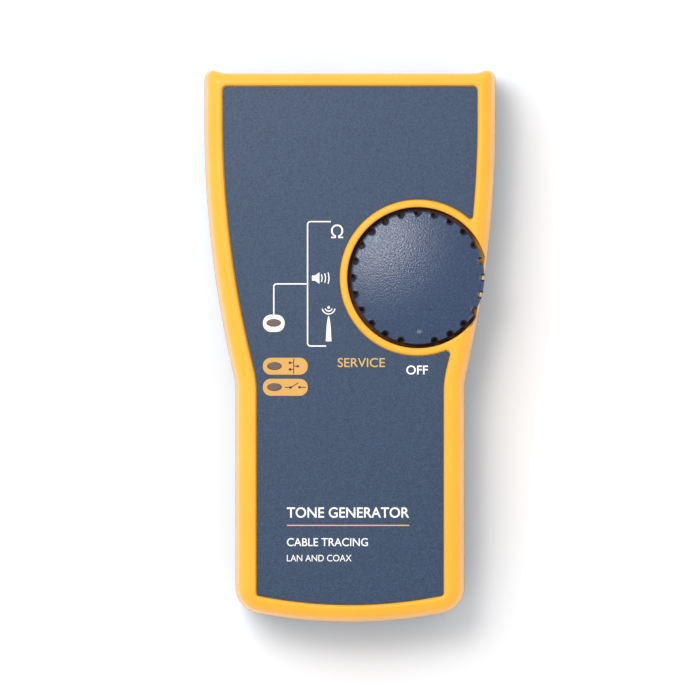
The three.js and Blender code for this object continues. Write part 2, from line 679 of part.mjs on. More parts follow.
/** A leaf spring whose rounded nose sits in a notch and whose ends hook round two posts. */
function detentSpring() {
  const { u, hookU, hookV, hookRadius, noseU, noseRadius, thick } = SPRING;
  const half = [
    ...arc(hookU, -hookV, hookRadius, 2.15 * Math.PI, Math.PI, 10),
    new THREE.Vector2(u, -2.1),
    new THREE.Vector2(u - 0.25, -1.3),
    ...arc(noseU, 0, noseRadius, 1.42 * Math.PI, Math.PI, 4),
  ];
  const mirrored = half.slice(0, -1).map((p) => new THREE.Vector2(p.x, -p.y));
  const path = [...half, ...mirrored.reverse()];
  const side = (sign) =>
    path.map((p, i) => {
      const [before, after] = [path[Math.max(i - 1, 0)], path[Math.min(i + 1, path.length - 1)]];
      const along = after.clone().sub(before).normalize();
      return new THREE.Vector2(p.x - (sign * along.y * thick) / 2, p.y + (sign * along.x * thick) / 2);
    });
  const ribbon = [...side(-1), ...side(1).reverse()];
  const inPlace = ribbon.map((p) => new THREE.Vector2(...besideNotch(p.x, p.y)));
  return prism(inPlace, ROTOR_BOTTOM_Z + 0.1, ROTOR_TOP_Z - 0.1);
}

// ---- board and what it carries ------------------------------------------------------------------

function circuitBoard() {
  const sheet = prism(outline(CASE, BOARD_INSET), BOARD_BOTTOM_Z, BOARD_TOP_Z);
  const span = box(-40, 40, BOARD_EDGE_Y, BOARD_END_Y, 0, 30);
  const cuts = [
    ...CASE_SCREWS.slice(0, 2).map(([x, y]) => post(x, y, 3.6, 10, 30)),
    ...BOARD_SCREWS.map(([x, y]) => post(x, y, 1.3, 10, 30, 12)),
    onDial(5.5, 10, 30, 24),
  ];
  return sheet.intersect(span).subtract(joined(cuts));
}

/** A chip on the board's face at z, standing out along side, with a row of legs on two edges. */
function chip({ x, y, halfX, halfY, thick, legs }, z, side) {
  const layer = (from, to) => [z + side * from, z + side * to].sort((a, b) => a - b);
  const body = box(x - halfX, x + halfX, y - halfY, y + halfY, ...layer(0.15, thick));
  const row = Array.from({ length: legs }, (_, i) => {
    const legY = y - halfY + ((i + 0.5) * 2 * halfY) / legs;
    return box(x - halfX - 0.9, x + halfX + 0.9, legY - 0.2, legY + 0.2, ...layer(0.05, 0.4));
  });
  return joined([body, ...row]);
}

/** Two E-shaped halves meeting round a coil. */
function transformerCore() {
  const { x, y, halfX, halfY, z0, z1, leg } = CORE;
  const block = box(x - halfX, x + halfX, y - halfY, y + halfY, z0, z1);
  const gap = halfX - 2 * leg;
  const windows = [x - leg - gap, x + leg].map((from) =>
    box(from, from + gap, y - 9, y + 9, z0 + 2, z1 - 2),
  );
  return block.subtract(joined(windows));
}

function transformerCoil() {
  const { x, y, halfX, halfY, z0, z1, leg } = CORE;
  const wound = halfX - leg - 0.3;
  const block = box(x - wound, x + wound, y - halfY - 2.4, y + halfY + 2.4, z0 + 2.3, z1 - 2.3);
  return block.subtract(box(x - leg - 0.2, x + leg + 0.2, y - halfY - 0.2, y + halfY + 0.2, 0, 30));
}

/** A crystal can lying on the board's underside. */
function crystal() {
  const { x, y, halfX, radius, height } = CRYSTAL;
  const [z0, z1] = [BOARD_BOTTOM_Z - height, BOARD_BOTTOM_Z - 0.1];
  const ends = [x - halfX, x + halfX].map((endX) => post(endX, y, radius, z0, z1, 20));
  return joined([...ends, box(x - halfX, x + halfX, y - radius, y + radius, z0, z1)]);
}

/** A can capacitor hanging under the board, with the groove round its closed end. */
function capacitor([x, y]) {
  const { radius, height } = CAPACITOR;
  const below = (r, drop) => [r, BOARD_BOTTOM_Z - drop];
  const profile = [
    below(0, height),
    below(radius - 0.25, height),
    below(radius, height - 0.3),
    below(radius, 1.9),
    below(radius - 0.35, 1.6),
    below(radius, 1.3),
    below(radius, 0.1),
    below(0, 0.1),
  ];
  return turned(x, y, profile, 16);
}

const lamp = ({ x, y }) => box(x - 1.6, x + 1.6, y - 0.8, y + 0.8, BOARD_TOP_Z + 0.05, BOARD_TOP_Z + 0.9);

/** A smoked light guide from a lamp to its window, with a flange that stops it under the wall. */
function lightPipe({ x, y }) {
  const guide = prism(windowOval({ x, y }), BOARD_TOP_Z + 1.2, PANEL_FLOOR_Z + 0.35);
  return guide.add(prism(oval(x, y, WINDOW_HALF_X + 0.9, WINDOW_HALF_Y + 0.7), 28.9, 29.8));
}

// ---- sockets at the connector end ---------------------------------------------------------------

function jackHousing() {
  const { x, halfX, z0, z1, y0, y1 } = JACK;
  const port = box(x - PORT.halfX, x + PORT.halfX, PORT.y0, 80, PORT.z0, PORT.z1);
  const latch = box(x - 3.2, x + 3.2, PORT.y0 + 2, 80, PORT.z1 - 0.1, PORT.z1 + 1.3);
  const catchSlot = box(x - 1.7, x + 1.7, PORT.y0 + 4, 80, PORT.z1, PORT.z1 + 1.9);
  const root = CONTACT_ROOT.y;
  const roots = box(x - 4.6, x + 4.6, root - 1.6, root + 0.8, PORT.z0 - 0.8, PORT.z0 + 0.1);
  return box(x - halfX, x + halfX, y0, y1, z0, z1).subtract(joined([port, latch, catchSlot, roots]));
}

/** One spring wire in the socket, sloping up and back from its root in the floor. */
function jackContact(i) {
  const x = JACK.x + (i - (CONTACTS - 1) / 2) * CONTACT_PITCH;
  const half = CONTACT_THICK / 2;
  const spine = [
    [0.2, -0.1],
    [-1.2, 0.5],
    [-7, 2.6],
    [-7.6, 2.4],
  ].map(([dy, dz]) => new THREE.Vector2(CONTACT_ROOT.y + dy, CONTACT_ROOT.z + dz));
  const side = (offset) => spine.map((p) => new THREE.Vector2(p.x, p.y + offset));
  const shape = new THREE.Shape([...side(half), ...side(-half).reverse()]);
  const wire = new THREE.ExtrudeGeometry(shape, { depth: CONTACT_THICK, bevelEnabled: false });
  const upright = wire.translate(0, 0, -half).rotateY(Math.PI / 2).rotateX(Math.PI / 2);
  return solid(upright.translate(x, 0, 0));
}

/** A profile of [radius, y] pairs turned about the coax socket's axis. */
function turnedOnCoax(profile, segments = 24) {
  const points = profile.map(([radius, y]) => new THREE.Vector2(radius, y));
  const shape = new THREE.LatheGeometry([...points, points[0].clone()], segments);
  return solid(shape.translate(COAX.x, 0, COAX.z));
}

function coaxBarrel() {
  const { radius, y0, y1, flange, thread } = COAX;
  const crests = Array.from({ length: 5 }, (_, i) => {
    const y = 63.5 + i * 1.2 * thread;
    return [[radius - 0.35, y], [radius, y + 0.4 * thread], [radius, y + 0.8 * thread]];
  }).flat();
  return turnedOnCoax([
    [3.6, y0],
    [radius, y0],
    [radius, 57.4],
    [flange, 57.4],
    [flange, POCKET.floorY - POCKET.wall - 0.1],
    [radius, POCKET.floorY - POCKET.wall - 0.1],
    [radius, 63.3],
    ...crests,
    [radius - 0.25, y1 - 0.25],
    [radius - 0.5, y1],
    [3.6, y1],
  ]);
}

const coaxNut = () => {
  const [y0, y1] = [POCKET.floorY + 0.1, 63];
  const ring = bar(COAX.x, COAX.z, COAX.radius + 0.15, 50, 80, 32);
  return bar(COAX.x, COAX.z, 6.5, y0, y1, 6).subtract(ring);
};

const coaxInsulator = () => {
  const [y0, y1] = [COAX.y0 + 0.2, COAX.y1 - 0.8];
  return turnedOnCoax([
    [1.05, y0],
    [3.5, y0],
    [3.5, y1 - 0.4],
    [3.1, y1],
    [1.05, y1],
  ]);
};

/** The tube that grips a plug's centre wire, with a tail up to the board. */
const coaxContact = () => {
  const bore = bar(COAX.x, COAX.z, 0.5, 60, 80, 10);
  const tube = bar(COAX.x, COAX.z, 0.95, 54.4, COAX.y1 - 1.3, 14).subtract(bore);
  return tube.add(box(COAX.x - 0.35, COAX.x + 0.35, 54.5, 55.4, COAX.z, BOARD_BOTTOM_Z - 0.1));
};

// ---- the assembly -------------------------------------------------------------------------------

const parts = new THREE.Group();

/** Adds a solid as a named mesh. */
function add(name, made, material) {
  const mesh = new THREE.Mesh(geometryOf(made), material);
  mesh.name = name;
  parts.add(mesh);
}

add("front_shell", frontShell(), YELLOW);
add("rear_shell", rearShell(), SLATE);
add("faceplate_overlay", faceplateOverlay(), OVERLAY);
add("connector_panel", connectorPanel(), BLACK);
CASE_SCREWS.forEach(([x, y], i) => add(`case_screw_${i + 1}`, screw(x, y, CASE_SCREW), STEEL));
FEET.forEach((at, i) => add(`rubber_foot_${i + 1}`, foot(at), RUBBER));
add("rating_label", ratingLabel(), LABEL);

add("dial_knob", dialKnob(), SLATE);
add("dial_washer", dialWasher(), STEEL);
add("dial_rotor", dialRotor(), WHITE);
add("rotor_screw", screw(DIAL.x, DIAL.y, ROTOR_SCREW), STEEL);
add("wiper_contact", wiperContact(), BRASS);
add("detent_spring", detentSpring(), STEEL);

add("circuit_board", circuitBoard(), BOARD);
BOARD_SCREWS.forEach(([x, y], i) => add(`board_screw_${i + 1}`, screw(x, y, BOARD_SCREW), STEEL));
add("microcontroller", chip(CONTROLLER, BOARD_TOP_Z, 1), BLACK);
add("line_driver_chip", chip(LINE_DRIVER, BOARD_BOTTOM_Z, -1), BLACK);
add("tone_transformer_core", transformerCore(), BLACK);
add("tone_transformer_coil", transformerCoil(), BRASS);
add("crystal", crystal(), STEEL);
CAPACITORS.forEach((at, i) => add(`capacitor_${i + 1}`, capacitor(at), JACKET));
WINDOWS.forEach((at, i) => add(`led_${i + 1}`, lamp(at), WHITE));
WINDOWS.forEach((at, i) => add(`light_pipe_${i + 1}`, lightPipe(at), SMOKE));

add("jack_housing", jackHousing(), BLACK);
for (let i = 0; i < CONTACTS; i++) {
  add(`jack_contact_${i + 1}`, jackContact(i), GOLD);
}
add("coax_barrel", coaxBarrel(), NICKEL);
add("coax_nut", coaxNut(), NICKEL);
add("coax_insulator", coaxInsulator(), WHITE);
add("coax_contact", coaxContact(), BRASS);

add("battery_case", batteryCase(), JACKET);
add("battery_terminal_positive", studTerminal(), NICKEL);
add("battery_terminal_negative", socketTerminal(), NICKEL);
add("battery_snap", batterySnap(), BLACK);
add("lead_positive", lead(1), RED);
add("lead_negative", lead(-1), BLACK);
add("battery_door", batteryDoor(), SLATE);
add("door_pad", doorPad(), FOAM);

export default parts;
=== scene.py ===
"""Looks for the handheld cable tone generator.

Shapes are built in millimetres in the shared frame and scaled to metres as each piece is made.
A shape is usually a loop generator, a function of inset, lofted through [z, inset] levels.
"""

import json
import math

import bmesh
import bpy
from mathutils import Matrix, Vector


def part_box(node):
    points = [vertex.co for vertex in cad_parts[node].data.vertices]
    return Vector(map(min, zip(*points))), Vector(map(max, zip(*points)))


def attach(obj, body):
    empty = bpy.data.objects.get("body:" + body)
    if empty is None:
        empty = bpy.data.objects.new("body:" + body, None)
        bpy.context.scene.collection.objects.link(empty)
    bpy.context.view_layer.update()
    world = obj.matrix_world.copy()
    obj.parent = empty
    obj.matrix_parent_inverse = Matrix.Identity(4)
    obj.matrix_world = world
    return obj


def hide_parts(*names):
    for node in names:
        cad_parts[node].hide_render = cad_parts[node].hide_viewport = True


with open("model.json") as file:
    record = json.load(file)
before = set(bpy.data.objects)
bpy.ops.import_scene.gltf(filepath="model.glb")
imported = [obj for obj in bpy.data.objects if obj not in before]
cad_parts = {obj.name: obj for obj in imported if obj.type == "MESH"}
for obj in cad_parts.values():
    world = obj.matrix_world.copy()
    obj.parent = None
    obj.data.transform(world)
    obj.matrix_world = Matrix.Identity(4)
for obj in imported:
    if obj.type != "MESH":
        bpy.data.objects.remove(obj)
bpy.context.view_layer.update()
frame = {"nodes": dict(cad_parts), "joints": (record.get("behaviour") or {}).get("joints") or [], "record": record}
MM = 0.001

# ---- dimensions in millimetres ----
# They are the solids' own, except that the case's ears are fuller, as in the photo.

CASE = dict(lower=29.5, upper=37.5, side_r=285, side_top=58, waist_r=20, bottom=-71, bottom_r=127,
            corner_r=7, top=70.2, top_r=2.2, ear=1.0, ear_r=8)
PANEL = dict(lower=24.1, upper=32.8, side_r=262, side_top=58.5, waist_r=25, bottom=-66.4,
             bottom_r=119, corner_r=0.8, top=67, top_r=1.3)
# The top edge steps back by this share of the inset at the sides.
TOP_SHARE = 0.62
# Over this inset the ears fade out.
EAR_FADE = 3
BACK_Z = 1
PARTING_Z = 15
# Each shell stops this far short of the parting plane.
SEAM = 0.1
CREST_Z = 33
KNOB_TOP_Z = 34
WALL = 2.4
# The top of the case's hollow.
CEILING_Z = 30
FLOOR_Z = 32
OVERLAY_Z = 32.4
# Half length and half width of a lamp window's oval in each piece it goes through.
WINDOW = dict(shell=(2.1, 1.2), overlay=(1.97, 1.07), guide=(1.87, 0.97), flange=(2.7, 1.6), ink=(1.9, 1.0))
DIAL = Vector(next(j for j in frame["joints"] if j["name"] == "dial_turn")["pos_m"]) / MM
RING_R = 20
# Radii of the two wedges between the ring and the right side of the face.
LOW_WEDGE_R = 1.0
HIGH_WEDGE_R = 0.75
WELL_R = 18.1
WELL_FLOOR_Z = 26
KNOB_R = 17.15
FLUTE_R = 1
FLUTE_CENTRE = 16.75
FLUTE_PITCHES = 24
POINTER_R = 13.6
PRINT_THICK = 0.03
# Where cutters end that only have to reach past the case's sides, narrow end, wide end and back.
PAST_SIDE = 40
PAST_BOTTOM = -80
PAST_TOP = 80
PAST_BACK = -1


def box_mm(node):
    """A CAD node's lowest and highest corners in millimetres."""
    low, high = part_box(node)
    return low / MM, high / MM


def centre_mm(node):
    low, high = box_mm(node)
    return (low + high) / 2


# ---- materials ----


COAT_ROUGHNESS = 0.25
SCATTER_RADIUS = (0.002, 0.001, 0.0005)
SCATTER_SCALE = 0.5
PLASTIC_IOR = 1.5
NOISE_ROUGHNESS = 0.55
DRIFT_DETAIL = 4
FINE_DETAIL = 3
# The noise values between which the colour drifts from its darker to its lighter end.
DRIFT_ENDS = (0.3, 0.7)
# Roughness varies over patches this many times smaller than the colour's.
ROUGH_PATCHES = 6
LEAST_ROUGHNESS = 0.03
CELL_SMOOTHNESS = 0.1


def material(name, colour, rough, metal=0.0, tint=0.06, tint_scale=60, grain=0.0, grain_scale=3000,
             rough_spread=0.08, sheen=0.0, coat=0.0, subsurface=0.0, specular=0.5, pebbles=False):
    """A moulded or plated finish: colour drifts a little, roughness varies and the grain is a fine bump.

    grain is the bump's height in millimetres. pebbles makes it of rounded cells instead of noise.
    """
    mat = bpy.data.materials.new(name)
    mat.use_nodes = True
    nodes, links = mat.node_tree.nodes, mat.node_tree.links
    shader = nodes["Principled BSDF"]
    sockets = {"Metallic": metal, "IOR": PLASTIC_IOR, "Specular IOR Level": specular, "Coat Weight": coat,
               "Coat Roughness": COAT_ROUGHNESS, "Sheen Weight": sheen}
    if subsurface:
        sockets |= {"Subsurface Weight": subsurface, "Subsurface Radius": SCATTER_RADIUS,
                    "Subsurface Scale": SCATTER_SCALE}
    for socket, value in sockets.items():
        shader.inputs[socket].default_value = value
    coords = nodes.new("ShaderNodeTexCoord")

    def noise(scale, detail):
        node = nodes.new("ShaderNodeTexNoise")
        node.inputs["Scale"].default_value = scale
        node.inputs["Detail"].default_value = detail
        node.inputs["Roughness"].default_value = NOISE_ROUGHNESS
        links.new(coords.outputs["Object"], node.inputs["Vector"])
        return node.outputs["Fac"]

    drift = nodes.new("ShaderNodeValToRGB")
    for end, position, shift in zip(drift.color_ramp.elements, DRIFT_ENDS, (1 - tint, 1 + tint)):
        end.position = position
        end.color = [min(c * shift, 1) for c in colour] + [1]
    links.new(noise(tint_scale, DRIFT_DETAIL), drift.inputs["Fac"])
    links.new(drift.outputs["Color"], shader.inputs["Base Color"])
    spread = nodes.new("ShaderNodeMapRange")
    spread.inputs["To Min"].default_value = max(rough - rough_spread, LEAST_ROUGHNESS)
    spread.inputs["To Max"].default_value = min(rough + rough_spread, 1)
    links.new(noise(tint_scale * ROUGH_PATCHES, FINE_DETAIL), spread.inputs["Value"])
    links.new(spread.outputs["Result"], shader.inputs["Roughness"])
    if grain:
        bump = nodes.new("ShaderNodeBump")
        bump.inputs["Strength"].default_value = 1
        bump.inputs["Distance"].default_value = grain * MM
        if pebbles:
            cells = nodes.new("ShaderNodeTexVoronoi")
            cells.feature = "SMOOTH_F1"
            cells.inputs["Smoothness"].default_value = CELL_SMOOTHNESS
            cells.inputs["Scale"].default_value = grain_scale
            links.new(coords.outputs["Object"], cells.inputs["Vector"])
            bump.invert = True
            links.new(cells.outputs["Distance"], bump.inputs["Height"])
        else:
            links.new(noise(grain_scale, FINE_DETAIL), bump.inputs["Height"])
        links.new(bump.outputs["Normal"], shader.inputs["Normal"])
    return mat


FINISH = {name: material(name, colour, rough, **more) for name, colour, rough, more in (
    ("case_yellow", (0.87, 0.415, 0.036), 0.3,
     dict(tint=0.03, grain=0.006, grain_scale=2600, rough_spread=0.04, specular=0.26)),
    ("case_dark", (0.030, 0.033, 0.040), 0.55, dict(tint=0.15, grain=0.05, grain_scale=2400)),
    ("face_overlay", (0.029, 0.053, 0.102), 0.36,
     dict(tint=0.36, tint_scale=2700, grain=0.03, grain_scale=3200, rough_spread=0.04, specular=0.28)),
    ("knob_slate", (0.038, 0.060, 0.116), 0.22,
     dict(tint=0.34, tint_scale=2600, grain=0.036, grain_scale=2550, rough_spread=0.03, specular=0.38,
          pebbles=True)),
    ("end_black", (0.014, 0.014, 0.016), 0.42, dict(tint=0.2, grain=0.02)),
    ("foot_rubber", (0.016, 0.016, 0.018), 0.85, dict(tint=0.25, grain=0.05, sheen=0.1)),
    ("smoked_window", (0.124, 0.080, 0.068), 0.2, dict(tint=0.08, coat=0.4)),
    ("steel", (0.60, 0.61, 0.63), 0.3, dict(metal=1, tint=0.08, tint_scale=300, grain=0.01)),
    ("nickel", (0.70, 0.67, 0.62), 0.2, dict(metal=1, tint=0.06, tint_scale=200, grain=0.004)),
    ("contact_gold", (0.85, 0.60, 0.22), 0.22, dict(metal=1, tint=0.05, tint_scale=400)),
    ("spring_brass", (0.75, 0.52, 0.22), 0.28, dict(metal=1, tint=0.08, tint_scale=300)),
    ("copper_wire", (0.52, 0.17, 0.06), 0.32, dict(metal=0.8, tint=0.15, tint_scale=900)),
    ("ferrite", (0.05, 0.05, 0.055), 0.7, dict(tint=0.2, grain=0.04)),
    ("inner_white", (0.75, 0.73, 0.68), 0.45, dict(tint=0.04, subsurface=0.1)),
    ("chip_black", (0.012, 0.012, 0.013), 0.6, dict(tint=0.25, grain=0.02)),
    ("board_green", (0.02, 0.11, 0.045), 0.35, dict(tint=0.18, tint_scale=500, coat=0.3)),
    ("label_foil", (0.33, 0.34, 0.36), 0.38, dict(metal=0.4, tint=0.06, grain=0.01)),
    ("sleeve_dark", (0.022, 0.027, 0.04), 0.22, dict(tint=0.15, coat=0.4)),
    ("lead_red", (0.42, 0.015, 0.012), 0.4, dict(tint=0.1)),
    ("lead_black", (0.014, 0.014, 0.015), 0.4, dict(tint=0.2)),
    ("foam", (0.018, 0.018, 0.02), 0.95, dict(tint=0.5, tint_scale=2500, grain=0.4, grain_scale=1800)),
    ("print_white", (0.86, 0.87, 0.88), 0.5, dict(tint=0.02)),
    ("print_orange", (0.64, 0.335, 0.070), 0.5, dict(tint=0.03)),
    ("print_yellow", (0.64, 0.39, 0.10), 0.5, dict(tint=0.03)),
    ("print_ink", (0.018, 0.026, 0.042), 0.5, dict(tint=0.05)),
)}

# The well's painted shade: a dark reddish brown mixed into the case's colour where shade falls in the dial's well.
# It starts below top and is full at full, inside the radius reach, and ends at open_side, where the well opens
# through the case's side. The two fades are soft edges.
PAINTED_WELL_SHADE = dict(colour=(0.21, 0.062, 0.018), top=32.5, full=31.2, reach=18.6, reach_fade=0.2, open_side=15.8,
             side_fade=2)


def paint_well_shade(mat):
    """Paints shade into the case's colour in the dial's well, except where it opens through the case's side."""
    nodes, links = mat.node_tree.nodes, mat.node_tree.links
    shader = nodes["Principled BSDF"]
    plain = shader.inputs["Base Color"].links[0].from_socket
    coords = nodes.new("ShaderNodeTexCoord")

    def vector_math(operation, source, value=(0, 0, 0)):
        node = nodes.new("ShaderNodeVectorMath")
        node.operation = operation
        node.inputs[1].default_value = value
        links.new(source, node.inputs[0])
        return node.outputs

    offset = vector_math("SUBTRACT", coords.outputs["Object"], (DIAL.x * MM, DIAL.y * MM, 0))["Vector"]
    radius = vector_math("LENGTH", vector_math("MULTIPLY", offset, (1, 1, 0))["Vector"])["Value"]
    split = nodes.new("ShaderNodeSeparateXYZ")
    links.new(offset, split.inputs["Vector"])

    def ramp(value, start, end):
        node = nodes.new("ShaderNodeMapRange")
        node.interpolation_type = "SMOOTHSTEP"
        node.inputs["From Min"].default_value = start * MM
        node.inputs["From Max"].default_value = end * MM
        links.new(value, node.inputs["Value"])
        return node.outputs["Result"]

    share = ramp(split.outputs["Z"], PAINTED_WELL_SHADE["top"], PAINTED_WELL_SHADE["full"])
    limits = (
        ramp(radius, PAINTED_WELL_SHADE["reach"], PAINTED_WELL_SHADE["reach"] - PAINTED_WELL_SHADE["reach_fade"]),
        ramp(split.outputs["X"], PAINTED_WELL_SHADE["open_side"], PAINTED_WELL_SHADE["open_side"] - PAINTED_WELL_SHADE["side_fade"]),
    )
    for limit in limits:
        times = nodes.new("ShaderNodeMath")
        times.operation = "MULTIPLY"
        links.new(share, times.inputs[0])
        links.new(limit, times.inputs[1])
        share = times.outputs["Value"]
    # Mixes the painted shade's dark colour over the case's own colour.
    mix = nodes.new("ShaderNodeMix")
    mix.data_type = "RGBA"
    mix.inputs["B"].default_value = (*PAINTED_WELL_SHADE["colour"], 1)
    links.new(share, mix.inputs["Factor"])
    links.new(plain, mix.inputs["A"])
    links.new(mix.outputs["Result"], shader.inputs["Base Color"])


# Painted shade in the dial's well, mixed into the yellow case's colour.
paint_well_shade(FINISH["case_yellow"])

# ---- loops ----


def arc(cx, cy, r, a0, a1, n):
    """Points on an arc, both ends included."""
    return [(cx + r * math.cos(a0 + (a1 - a0) * i / n), cy + r * math.sin(a0 + (a1 - a0) * i / n))
            for i in range(n + 1)]


def mirrored(half):
    """A closed loop from its right half, which runs from the bottom up."""
    return half + [(-x, y) for x, y in reversed(half)]


def side_arcs(spec, d):
    """Centres, radii and angles of a spec's concave waist arc and its wide side arc, at inset d."""
    lower, side_x = spec["lower"] - d, spec["upper"] - spec["side_r"]
    side_r, waist_r = spec["side_r"] - d, spec["waist_r"] + d
    waist_x = lower + waist_r
    waist_y = spec["side_top"] - math.sqrt((side_r + waist_r) ** 2 - (waist_x - side_x) ** 2)
    angle = math.atan2(waist_y - spec["side_top"], waist_x - side_x)
    return (waist_x, waist_y, waist_r), (side_x, spec["side_top"], side_r), angle


def bottom_half(spec, d, least_corner, steps):
    """The right half of the bottom arc and its corner, at inset d."""
    lower, bottom_r = spec["lower"] - d, spec["bottom_r"] - d
    centre_y = spec["bottom"] + spec["bottom_r"]
    corner = max(spec["corner_r"] - d, least_corner)
    cx = lower - corner
    cy = centre_y - math.sqrt((bottom_r - corner) ** 2 - cx**2)
    angle = math.atan2(cy - centre_y, cx)
    wide = arc(0, centre_y, bottom_r, -math.pi / 2, angle, steps)
    return wide[1:] + arc(cx, cy, corner, angle, 0, 12)[1:]


def case_loop(d, top_d=None):
    """The case's outline pulled in by d, and by top_d along its top edge."""
    top_d = d * TOP_SHARE if top_d is None else top_d
    waist, side, angle = side_arcs(CASE, d)
    ear = max(CASE["ear"] * (1 - d / EAR_FADE), 0.02)
    r = max(CASE["top_r"] - 0.7 * d, 0.8)
    ear_x, ear_y = CASE["upper"] - d - r, CASE["top"] - top_d + ear - r
    reach = r + CASE["ear_r"]
    blend_x, blend_y = ear_x - math.sqrt(2 * reach * ear - ear**2), CASE["top"] - top_d + CASE["ear_r"]
    blend = math.atan2(ear_y - blend_y, ear_x - blend_x)
    return mirrored(
        bottom_half(CASE, d, 0.5, 22)
        + arc(*waist, math.pi, math.pi + angle, 10)
        + arc(*side, angle, 0, 30)[1:]
        + arc(ear_x, ear_y, r, 0, blend + math.pi, 12)
        + arc(blend_x, blend_y, CASE["ear_r"], blend, -math.pi / 2, 6)[1:]
    )


def circle_meet(c1, r1, c2, r2, upper):
    """Where two circles meet, taking the higher or the lower point."""
    c1, c2 = Vector(c1), Vector(c2)
    gap = (c2 - c1).length
    along = (r1**2 - r2**2 + gap**2) / (2 * gap)
    off = math.sqrt(r1**2 - along**2)
    unit = (c2 - c1) / gap
    found = [c1 + unit * along + Vector((-unit.y, unit.x)) * off * s for s in (1, -1)]
    return max(found, key=lambda p: p.y) if upper else min(found, key=lambda p: p.y)


def recess_loop(d):
    """The face's recess pulled in by d: the panel's outline less the dial's ring at its right side."""
    waist, side, angle = side_arcs(PANEL, d)
    _, side0, _ = side_arcs(PANEL, 0)
    ring = (DIAL.x, DIAL.y)

    def wedge(upper, r):
        centre = circle_meet(side0[:2], side0[2] - r, ring, RING_R + r, upper)
        on_side = math.atan2(centre.y - side0[1], centre.x - side0[0])
        on_ring = math.atan2(centre.y - ring[1], centre.x - ring[0])
        return centre, on_side, on_ring

    low, low_side, low_ring = wedge(False, LOW_WEDGE_R)
    high, high_side, high_ring = wedge(True, HIGH_WEDGE_R)
    top_y, top_r = PANEL["top"] - d, PANEL["top_r"] - d
    corner_x = PANEL["upper"] - d - top_r
    corner = arc(corner_x, top_y - top_r, top_r, 0, math.pi / 2, 8)
    bottom = bottom_half(PANEL, d, 0.2, 20)
    right = (
        bottom
        + arc(*waist, math.pi, math.pi + angle, 6)
        + arc(*side, angle, low_side, 4)[1:]
        + arc(low.x, low.y, LOW_WEDGE_R - d, low_side, low_ring + math.pi, 10)[1:]
        + arc(*ring, RING_R + d, low_ring, high_ring - 2 * math.pi, 90)[1:]
        + arc(high.x, high.y, HIGH_WEDGE_R - d, high_ring - math.pi, high_side, 10)[1:]
        + arc(*side, high_side, 0, 12)[1:]
        + corner
    )
    left = bottom + arc(*waist, math.pi, math.pi + angle, 6) + arc(*side, angle, 0, 30)[1:] + corner
    return right + [(-x, y) for x, y in reversed(left)]


def oval(x, y, a, b, n=48):
    """An oval with half axes a and b."""
    turns = [2 * math.pi * i / n for i in range(n)]
    return lambda d: [(x + (a - d) * math.cos(t), y + (b - d) * math.sin(t)) for t in turns]


def circle(x, y, r, n=48):
    return oval(x, y, r, r, n)


def rounded(x0, x1, y0, y1, r, n=6):
    """A rectangle with rounded corners, n steps to a corner."""

    def loop(d):
        c = max(r - d, 0.01)
        xa, xb, ya, yb = x0 + d + c, x1 - d - c, y0 + d + c, y1 - d - c
        return (arc(xb, ya, c, -math.pi / 2, 0, n) + arc(xb, yb, c, 0, math.pi / 2, n)
                + arc(xa, yb, c, math.pi / 2, math.pi, n) + arc(xa, ya, c, math.pi, 1.5 * math.pi, n))

    return loop


# ---- profiles: [z, inset] levels ----


EDGE_STEPS = 5
# Steps in the rounding of a shell from its wall to its flat.
SHELL_STEPS = 14
# How far a cutter runs on past the rim it opens through.
OVERRUN = 1.5


def quarter(steps):
    """The angles of a quarter turn."""
    return [math.pi / 2 * i / steps for i in range(steps + 1)]


def block(z0, z1, r, r1=None):
    """A solid's wall with its bottom edge rounded by r and its top by r1."""
    r1 = r if r1 is None else r1
    turn = quarter(EDGE_STEPS)
    low = [(z0 + r * (1 - math.sin(a)), r * (1 - math.cos(a))) for a in reversed(turn)] if r else [(z0, 0)]
    high = [(z1 - r1 * (1 - math.sin(a)), r1 * (1 - math.cos(a))) for a in turn] if r1 else [(z1, 0)]
    return low + high


def pocket(floor, rim, flare, fillet, up=1, steps=6):
    """A cutter's wall that leaves a rounded rim where it opens. up is -1 for one that opens downwards."""
    levels = [(floor, fillet), (floor + up * fillet, 0)]
    levels += [(rim - up * flare * (1 - math.sin(a)), -flare * (1 - math.cos(a))) for a in quarter(steps)]
    levels.append((rim + up * OVERRUN, -flare))
    return levels if up > 0 else levels[::-1]


def ellipse(z0, d0, z1, d1):
    """Levels on the quarter ellipse that rounds a shell from wall to flat."""
    return [(z0 + (z1 - z0) * math.sin(a), d1 - (d1 - d0) * math.cos(a)) for a in quarter(SHELL_STEPS)[1:]]


# ---- meshes ----


# Points closer than this are one point.
SAME_POINT = 1e-4


def linked(name, data):
    """A new object in the scene that holds data."""
    obj = bpy.data.objects.new(name, data)
    bpy.context.scene.collection.objects.link(obj)
    return obj


def build(name, verts, faces):
    """A mesh object in millimetres, not yet in the scene's finished set."""
    mesh = bpy.data.meshes.new(name)
    mesh.from_pydata(verts, [], faces)
    mesh.validate()
    return linked(name, mesh)


def clean(obj):
    """Merges doubles and turns the faces outwards."""
    bm = bmesh.new()
    bm.from_mesh(obj.data)
    bmesh.ops.remove_doubles(bm, verts=bm.verts, dist=SAME_POINT)
    bmesh.ops.dissolve_degenerate(bm, dist=SAME_POINT, edges=bm.edges)
    bmesh.ops.recalc_face_normals(bm, faces=bm.faces)
    bm.to_mesh(obj.data)
    bm.free()
    return obj


def skin(name, rings, closed_ends=True):
    """Rings of equal length joined by quads, with a face across each end."""
    n = len(rings[0])
    verts = [p for ring in rings for p in ring]
    faces = []
    for k in range(len(rings) - 1):
        a, b = k * n, (k + 1) * n
        faces += [(a + i, a + (i + 1) % n, b + (i + 1) % n, b + i) for i in range(n)]
    if closed_ends:
        faces.append(tuple(reversed(range(n))))
        faces.append(tuple(range((len(rings) - 1) * n, len(rings) * n)))
    return clean(build(name, verts, faces))


def loft(name, loop, levels):
    """loop(inset) stood up through [z, inset] levels."""
    return skin(name, [[(x, y, z) for x, y in loop(d)] for z, d in levels])


